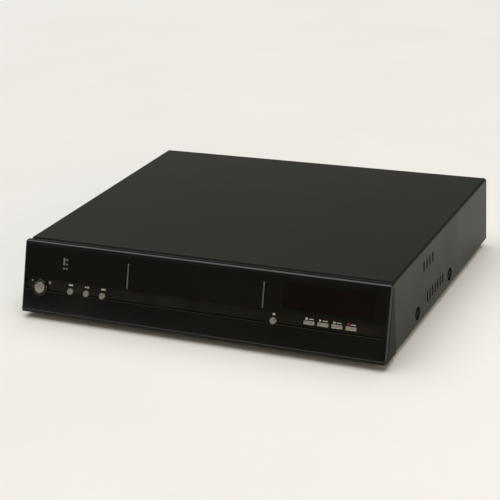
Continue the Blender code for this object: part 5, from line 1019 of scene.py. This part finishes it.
def make_fan():
    """The fan's rotor, with swept blades that thin towards their tips."""
    low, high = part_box("fan_rotor")
    middle = (low + high) / 2
    front, rear = low.y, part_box("fan_frame")[1].y - 3.4 * MM
    place = facing((middle.x, front, middle.z), (0, 1, 0))
    deep = rear - front
    bm = bmesh.new()
    profile = [(0, 0), (11.4 * MM, 0)]
    for step in range(1, 5):
        turn = RIGHT * step / 4
        profile.append((11.4 * MM + 1.1 * MM * math.sin(turn), 1.1 * MM * (1 - math.cos(turn))))
    profile += [(12.5 * MM, deep), (0, deep)]
    turned(bm, profile, 48)
    for number in range(7):
        blade = bmesh.new()
        sheet = bmesh.ops.create_grid(blade, x_segments=6, y_segments=6, size=1)["verts"]
        for vert in sheet:
            along, across = (vert.co.x + 1) / 2, vert.co.y
            radius = (11.8 + 14.2 * along) * MM
            swing = across * (0.40 - 0.06 * along) + 0.30 * along**1.5
            height = deep / 2 - across * deep * 0.42 - (1 - across**2) * 0.8 * MM
            vert.co = (radius * math.cos(swing), radius * math.sin(swing), height)
        bmesh.ops.recalc_face_normals(blade, faces=blade.faces)
        bmesh.ops.solidify(blade, geom=list(blade.faces), thickness=1.0 * MM)
        turn = Matrix.Rotation(math.tau * number / 7, 3, "Z")
        bmesh.ops.rotate(blade, cent=(0, 0, 0), matrix=turn, verts=blade.verts)
        take_in(bm, blade)
    bmesh.ops.recalc_face_normals(bm, faces=bm.faces)
    bm.transform(place)
    place_piece("fan_rotor_blades", bm, "fan_black", BODIES["fan_rotor"], ("fan_rotor",))


# ---------------------------------------------------------------- the drive and the inside


def make_drive():
    """The disc drive: tray, body, lid, gear, spindle, sled and rods."""
    dress("disc_tray", 0.35 * MM, 3)
    dress("drive_housing", 0.3 * MM)
    dress("drive_lid", 0.3 * MM)
    dress("loading_pinion", 0.08 * MM, 1)
    dress("spindle_turntable", 0.2 * MM)
    dress("spindle_motor", 0.2 * MM)
    dress("laser_sled", 0.3 * MM)
    dress("left_guide_rod")
    dress("right_guide_rod")
    # the lens of the laser sled, a bright bead in its rubber ring
    low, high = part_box("laser_sled")
    middle = (low + high) / 2
    lens = [(0, -0.6 * MM), (2.4 * MM, -0.6 * MM)]
    for step in range(0, 6):
        turn = RIGHT * step / 5
        lens.append((2.4 * MM * math.cos(turn), 0.35 * MM * math.sin(turn)))
    turned_piece("laser_lens", lens, facing((middle.x, middle.y, high.z), (0, 0, 1)), "display_glass",
                 BODIES["laser_sled"], steps=32)
    # the turntable's rubber ring and steel centring cone
    low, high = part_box("spindle_turntable")
    middle = (low + high) / 2
    pad = [(8.6 * MM, 0), (10.9 * MM, 0), (10.9 * MM, 0.15 * MM), (10.6 * MM, 0.3 * MM), (8.9 * MM, 0.3 * MM),
           (8.6 * MM, 0.15 * MM), (8.6 * MM, 0)]
    turned_piece("turntable_pad", pad, facing((middle.x, middle.y, high.z - 2.0 * MM), (0, 0, 1)), "rubber",
                 BODIES["spindle_turntable"], steps=48)


def make_inside():
    """Boards, hard disk, brackets and base."""
    for node in ("base_chassis", "drive_bracket", "hard_disk_bracket"):
        dress(node, 0.3 * MM)
    dress("hard_disk", 0.4 * MM, 2)
    for node in ("left_front_board", "right_front_board", "main_board", "power_board"):
        dress(node, 0.1 * MM, 1)
    cabinet = BODIES["main_board"]
    # chips and large soldered parts get caps of their own material
    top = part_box("main_board")[1].z
    bm = bmesh.new()
    row = COVER_FRONT + 245 * MM
    for x, half in ((-30, 15), (10, 7), (30, 7), (50, 7)):
        rounded_box(bm, ((x - half - 0.05) * MM, row - half * MM - 0.05 * MM, top - 2.4 * MM),
                    ((x + half + 0.05) * MM, row + half * MM + 0.05 * MM, top + 0.05 * MM), 0.2 * MM)
    place_piece("board_chips", bm, "chip_epoxy", cabinet)
    make_power_parts()


def make_power_parts():
    """The transformer, heat sink and capacitor on the power board."""
    cabinet = BODIES["power_board"]
    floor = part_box("power_board")[0].z + 1.7 * MM
    bm = bmesh.new()
    x, y, half = -170 * MM, COVER_FRONT + 180 * MM, 17.1 * MM
    rounded_box(bm, (x - half, y - half, floor), (x + half, y + half, floor + 28 * MM), 1.5 * MM)
    place_piece("transformer_winding", bm, "winding_tape", cabinet)
    bm = bmesh.new()
    half, deep = 11.1 * MM, 21.1 * MM
    rounded_box(bm, (x - half, y - deep, floor + 3 * MM), (x + half, y + deep, floor + 25.1 * MM), 0.8 * MM)
    place_piece("transformer_core", bm, "ferrite", cabinet)
    bm = bmesh.new()
    x, y = -130 * MM, COVER_FRONT + 165 * MM
    half, deep, tall, fin = 11.05 * MM, 25.05 * MM, 36.05 * MM, 0.95 * MM
    rounded_box(bm, (x - half, y - deep, floor), (x - 6.95 * MM, y + deep, floor + tall), 0.2 * MM, 2)
    for number in range(5):
        at = y + (number - 2) * 12.05 * MM
        rounded_box(bm, (x - 7.5 * MM, at - fin, floor), (x + half, at + fin, floor + tall), 0.3 * MM, 2)
    place_piece("heat_sink_fins", bm, "extruded_aluminium", cabinet)
    can = bead(12.6 * MM, 0, 34.1 * MM, 1.2 * MM)
    can.append((0, 34.1 * MM))
    turned_piece("bulk_capacitor", can, Matrix.Translation((-118 * MM, COVER_FRONT + 250 * MM, floor)),
                 "chip_epoxy", cabinet, steps=40)


def make_rest():
    """Any CAD node that still shows gets its own finish."""
    for name, piece in frame["nodes"].items():
        for holder in piece.material_slots:
            holder.material = FINISHES[SLOTS[name]]


# ---------------------------------------------------------------- stage


def soft_box(name, place, target, wide, tall, radiance, colour="#ffffff"):
    """A soft light of a given brightness that looks at a target and stays out of the camera's view."""
    lamp = bpy.data.lights.new(name, "AREA")
    lamp.shape = "RECTANGLE"
    lamp.size = wide
    lamp.size_y = tall
    lamp.energy = math.pi * wide * tall * radiance
    lamp.color = linear(colour)
    holder = bpy.data.objects.new(name, lamp)
    holder.location = place
    holder.rotation_euler = (Vector(target) - Vector(place)).to_track_quat("-Z", "Y").to_euler()
    holder.visible_camera = False
    bpy.context.scene.collection.objects.link(holder)


def make_stage():
    """A pale floor, soft lights and the photograph's camera."""
    # level under the machine, then rising gently so that a low camera still sees it
    profile = [(0, 0), (FLOOR_FLAT, 0)]
    for step in range(1, 13):
        share = step / 12
        profile.append((FLOOR_FLAT + share * (FLOOR_EDGE - FLOOR_FLAT), FLOOR_RISE * share**2))
    bm = bmesh.new()
    verts = [bm.verts.new((radius, 0, height)) for radius, height in profile]
    edges = [bm.edges.new(pair) for pair in zip(verts, verts[1:])]
    bmesh.ops.spin(
        bm, geom=verts + edges, cent=(0, 0, 0), axis=(0, 0, 1), angle=math.tau, steps=96, use_merge=True
    )
    bmesh.ops.remove_doubles(bm, verts=bm.verts, dist=0.1 * MM)
    bmesh.ops.recalc_face_normals(bm, faces=bm.faces)
    for face in bm.faces:
        face.smooth = True
    mesh = bpy.data.meshes.new("studio_floor")
    bm.to_mesh(mesh)
    bm.free()
    # Matt card: pale, with a faint cloudiness.
    mesh.materials.append(coating("matt_white_card", "#eae8e2", "#efede8", (0.85, 0.95), 12.0, 0.05, 260))
    floor = bpy.data.objects.new("studio_floor", mesh)
    bpy.context.scene.collection.objects.link(floor)

    world = bpy.data.worlds.new("studio")
    world.use_nodes = True
    tree = world.node_tree
    tree.nodes.clear()
    pale = (*linear("#f4f2ee"), 1)
    sky = add(tree, "ShaderNodeBackground", {"Color": pale, "Strength": looks().room_light})
    add(tree, "ShaderNodeOutputWorld", None, {"Surface": sky.outputs[0]})
    bpy.context.scene.world = world

    level = looks().lamp_level
    overhead = bpy.data.lights.new("overhead_light", "SUN")
    overhead.energy = 2.85 * level
    overhead.angle = math.radians(84)
    holder = bpy.data.objects.new("overhead_light", overhead)
    holder.rotation_euler = (math.radians(-7), math.radians(-6), 0)
    bpy.context.scene.collection.objects.link(holder)
    soft_box("back_light", (-1.6, 2.7, 0.72), (0, 0, 0.2), 2.8, 1.05, 0.3 * level, "#fbf6e8")
    soft_box("front_light", (2.35, -1.5, 0.95), (0, 0, 0), 2.4, 1.2, 3.0 * level, "#ffecd2")

    lens = bpy.data.cameras.new("photo_camera")
    lens.lens = CAMERA_LENS
    lens.sensor_width = 36
    lens.clip_start = 0.01
    camera = bpy.data.objects.new("photo_camera", lens)
    camera.location = CAMERA_PLACE
    camera.rotation_euler = [math.radians(turn) for turn in CAMERA_TURN]
    bpy.context.scene.collection.objects.link(camera)
    bpy.context.scene.camera = camera
    bpy.context.scene.view_settings.view_transform = "Standard"


# ---------------------------------------------------------------- add-on


class RecorderLooks(bpy.types.PropertyGroup):
    """Sizes and colours that a user would change."""

    edge_softness: FloatProperty(
        name="Edge softness",
        description="Round on the moulded front's edges",
        default=0.35 * MM,
        min=0,
        unit="LENGTH",
    )
    cover_tone: FloatVectorProperty(
        name="Cover tint",
        description="Tint over the cover's paint",
        subtype="COLOR",
        size=3,
        default=(1, 1, 1),
    )
    button_tone: FloatVectorProperty(
        name="Button tint",
        description="Tint over the silver buttons",
        subtype="COLOR",
        size=3,
        default=(1, 1, 1),
    )
    room_light: FloatProperty(
        name="Room light", description="How bright the room round the stage is", default=0.06, min=0
    )
    lamp_level: FloatProperty(
        name="Lamp level", description="How bright the soft lights are", default=1.0, min=0
    )


def load_finishes():
    """Make every finish for the settings as they stand."""
    FINISHES.update(make_finishes(looks()))


class RECORDER_OT_finishes(bpy.types.Operator):
    """Make every finish and give it to the nodes that show."""

    bl_idname = "recorder.finishes"
    bl_label = "Finishes"
    bl_options = {"REGISTER", "UNDO"}

    def execute(self, context):
        load_finishes()
        make_rest()
        return {"FINISHED"}


class RECORDER_OT_front(bpy.types.Operator):
    """Dress the front mouldings and panels."""

    bl_idname = "recorder.front"
    bl_label = "Front mouldings"
    bl_options = {"REGISTER", "UNDO"}

    def execute(self, context):
        make_front()
        return {"FINISHED"}


class RECORDER_OT_strips(bpy.types.Operator):
    """Make the tray door's strips."""

    bl_idname = "recorder.strips"
    bl_label = "Bright strips"
    bl_options = {"REGISTER", "UNDO"}

    def execute(self, context):
        make_strips()
        return {"FINISHED"}


class RECORDER_OT_buttons(bpy.types.Operator):
    """Make the buttons and the power ring."""

    bl_idname = "recorder.buttons"
    bl_label = "Buttons"
    bl_options = {"REGISTER", "UNDO"}

    def execute(self, context):
        make_buttons()
        return {"FINISHED"}


class RECORDER_OT_signs(bpy.types.Operator):
    """Print the plain transport signs."""

    bl_idname = "recorder.signs"
    bl_label = "Printed signs"
    bl_options = {"REGISTER", "UNDO"}

    def execute(self, context):
        make_signs()
        return {"FINISHED"}


class RECORDER_OT_display(bpy.types.Operator):
    """Make the display's unlit figures."""

    bl_idname = "recorder.display"
    bl_label = "Display"
    bl_options = {"REGISTER", "UNDO"}

    def execute(self, context):
        make_display()
        return {"FINISHED"}


class RECORDER_OT_cover(bpy.types.Operator):
    """Dress the folded cover."""

    bl_idname = "recorder.cover"
    bl_label = "Cover"
    bl_options = {"REGISTER", "UNDO"}

    def execute(self, context):
        make_cover()
        return {"FINISHED"}


class RECORDER_OT_screws(bpy.types.Operator):
    """Dress the screws."""

    bl_idname = "recorder.screws"
    bl_label = "Screws"
    bl_options = {"REGISTER", "UNDO"}

    def execute(self, context):
        make_screws()
        return {"FINISHED"}


class RECORDER_OT_feet(bpy.types.Operator):
    """Make the rubber feet."""

    bl_idname = "recorder.feet"
    bl_label = "Feet"
    bl_options = {"REGISTER", "UNDO"}

    def execute(self, context):
        make_feet()
        return {"FINISHED"}


class RECORDER_OT_front_jacks(bpy.types.Operator):
    """Make the sockets behind the flap."""

    bl_idname = "recorder.front_jacks"
    bl_label = "Front sockets"
    bl_options = {"REGISTER", "UNDO"}

    def execute(self, context):
        make_front_jacks()
        return {"FINISHED"}


class RECORDER_OT_rear(bpy.types.Operator):
    """Dress the rear sheet and make its sockets."""

    bl_idname = "recorder.rear"
    bl_label = "Rear"
    bl_options = {"REGISTER", "UNDO"}

    def execute(self, context):
        make_rear()
        return {"FINISHED"}


class RECORDER_OT_fan(bpy.types.Operator):
    """Make the fan's rotor."""

    bl_idname = "recorder.fan"
    bl_label = "Fan"
    bl_options = {"REGISTER", "UNDO"}

    def execute(self, context):
        make_fan()
        return {"FINISHED"}


class RECORDER_OT_drive(bpy.types.Operator):
    """Dress the disc drive."""

    bl_idname = "recorder.drive"
    bl_label = "Disc drive"
    bl_options = {"REGISTER", "UNDO"}

    def execute(self, context):
        make_drive()
        return {"FINISHED"}


class RECORDER_OT_inside(bpy.types.Operator):
    """Dress the boards, disk and base."""

    bl_idname = "recorder.inside"
    bl_label = "Inside"
    bl_options = {"REGISTER", "UNDO"}

    def execute(self, context):
        make_inside()
        return {"FINISHED"}


class RECORDER_OT_stage(bpy.types.Operator):
    """Make the floor, lights and camera."""

    bl_idname = "recorder.stage"
    bl_label = "Stage"
    bl_options = {"REGISTER", "UNDO"}

    def execute(self, context):
        make_stage()
        return {"FINISHED"}


OPERATORS = (
    RECORDER_OT_finishes,
    RECORDER_OT_front,
    RECORDER_OT_strips,
    RECORDER_OT_buttons,
    RECORDER_OT_signs,
    RECORDER_OT_display,
    RECORDER_OT_cover,
    RECORDER_OT_screws,
    RECORDER_OT_feet,
    RECORDER_OT_front_jacks,
    RECORDER_OT_rear,
    RECORDER_OT_fan,
    RECORDER_OT_drive,
    RECORDER_OT_inside,
    RECORDER_OT_stage,
)


class RECORDER_PT_pieces(bpy.types.Panel):
    """Lists the pieces of the recorder."""

    bl_idname = "RECORDER_PT_pieces"
    bl_label = "Disc recorder"
    bl_space_type = "VIEW_3D"
    bl_region_type = "UI"
    bl_category = "Recorder"

    def draw(self, context):
        settings = context.scene.recorder_looks
        for name in RecorderLooks.__annotations__:
            self.layout.prop(settings, name)
        for kind in OPERATORS:
            self.layout.operator(kind.bl_idname)


CLASSES = (RecorderLooks, *OPERATORS, RECORDER_PT_pieces)


def register():
    """Register the classes and hang the settings on the scene."""
    for kind in CLASSES:
        bpy.utils.register_class(kind)
    bpy.types.Scene.recorder_looks = PointerProperty(type=RecorderLooks)


def unregister():
    """Undo what register does."""
    del bpy.types.Scene.recorder_looks
    for kind in reversed(CLASSES):
        bpy.utils.unregister_class(kind)


def main():
    """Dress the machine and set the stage."""
    register()
    bpy.ops.recorder.finishes()
    bpy.ops.recorder.front()
    bpy.ops.recorder.strips()
    bpy.ops.recorder.buttons()
    bpy.ops.recorder.signs()
    bpy.ops.recorder.display()
    bpy.ops.recorder.cover()
    bpy.ops.recorder.screws()
    bpy.ops.recorder.feet()
    bpy.ops.recorder.front_jacks()
    bpy.ops.recorder.rear()
    bpy.ops.recorder.fan()
    bpy.ops.recorder.drive()
    bpy.ops.recorder.inside()
    bpy.ops.recorder.stage()


if __name__ == "__main__":
    main()
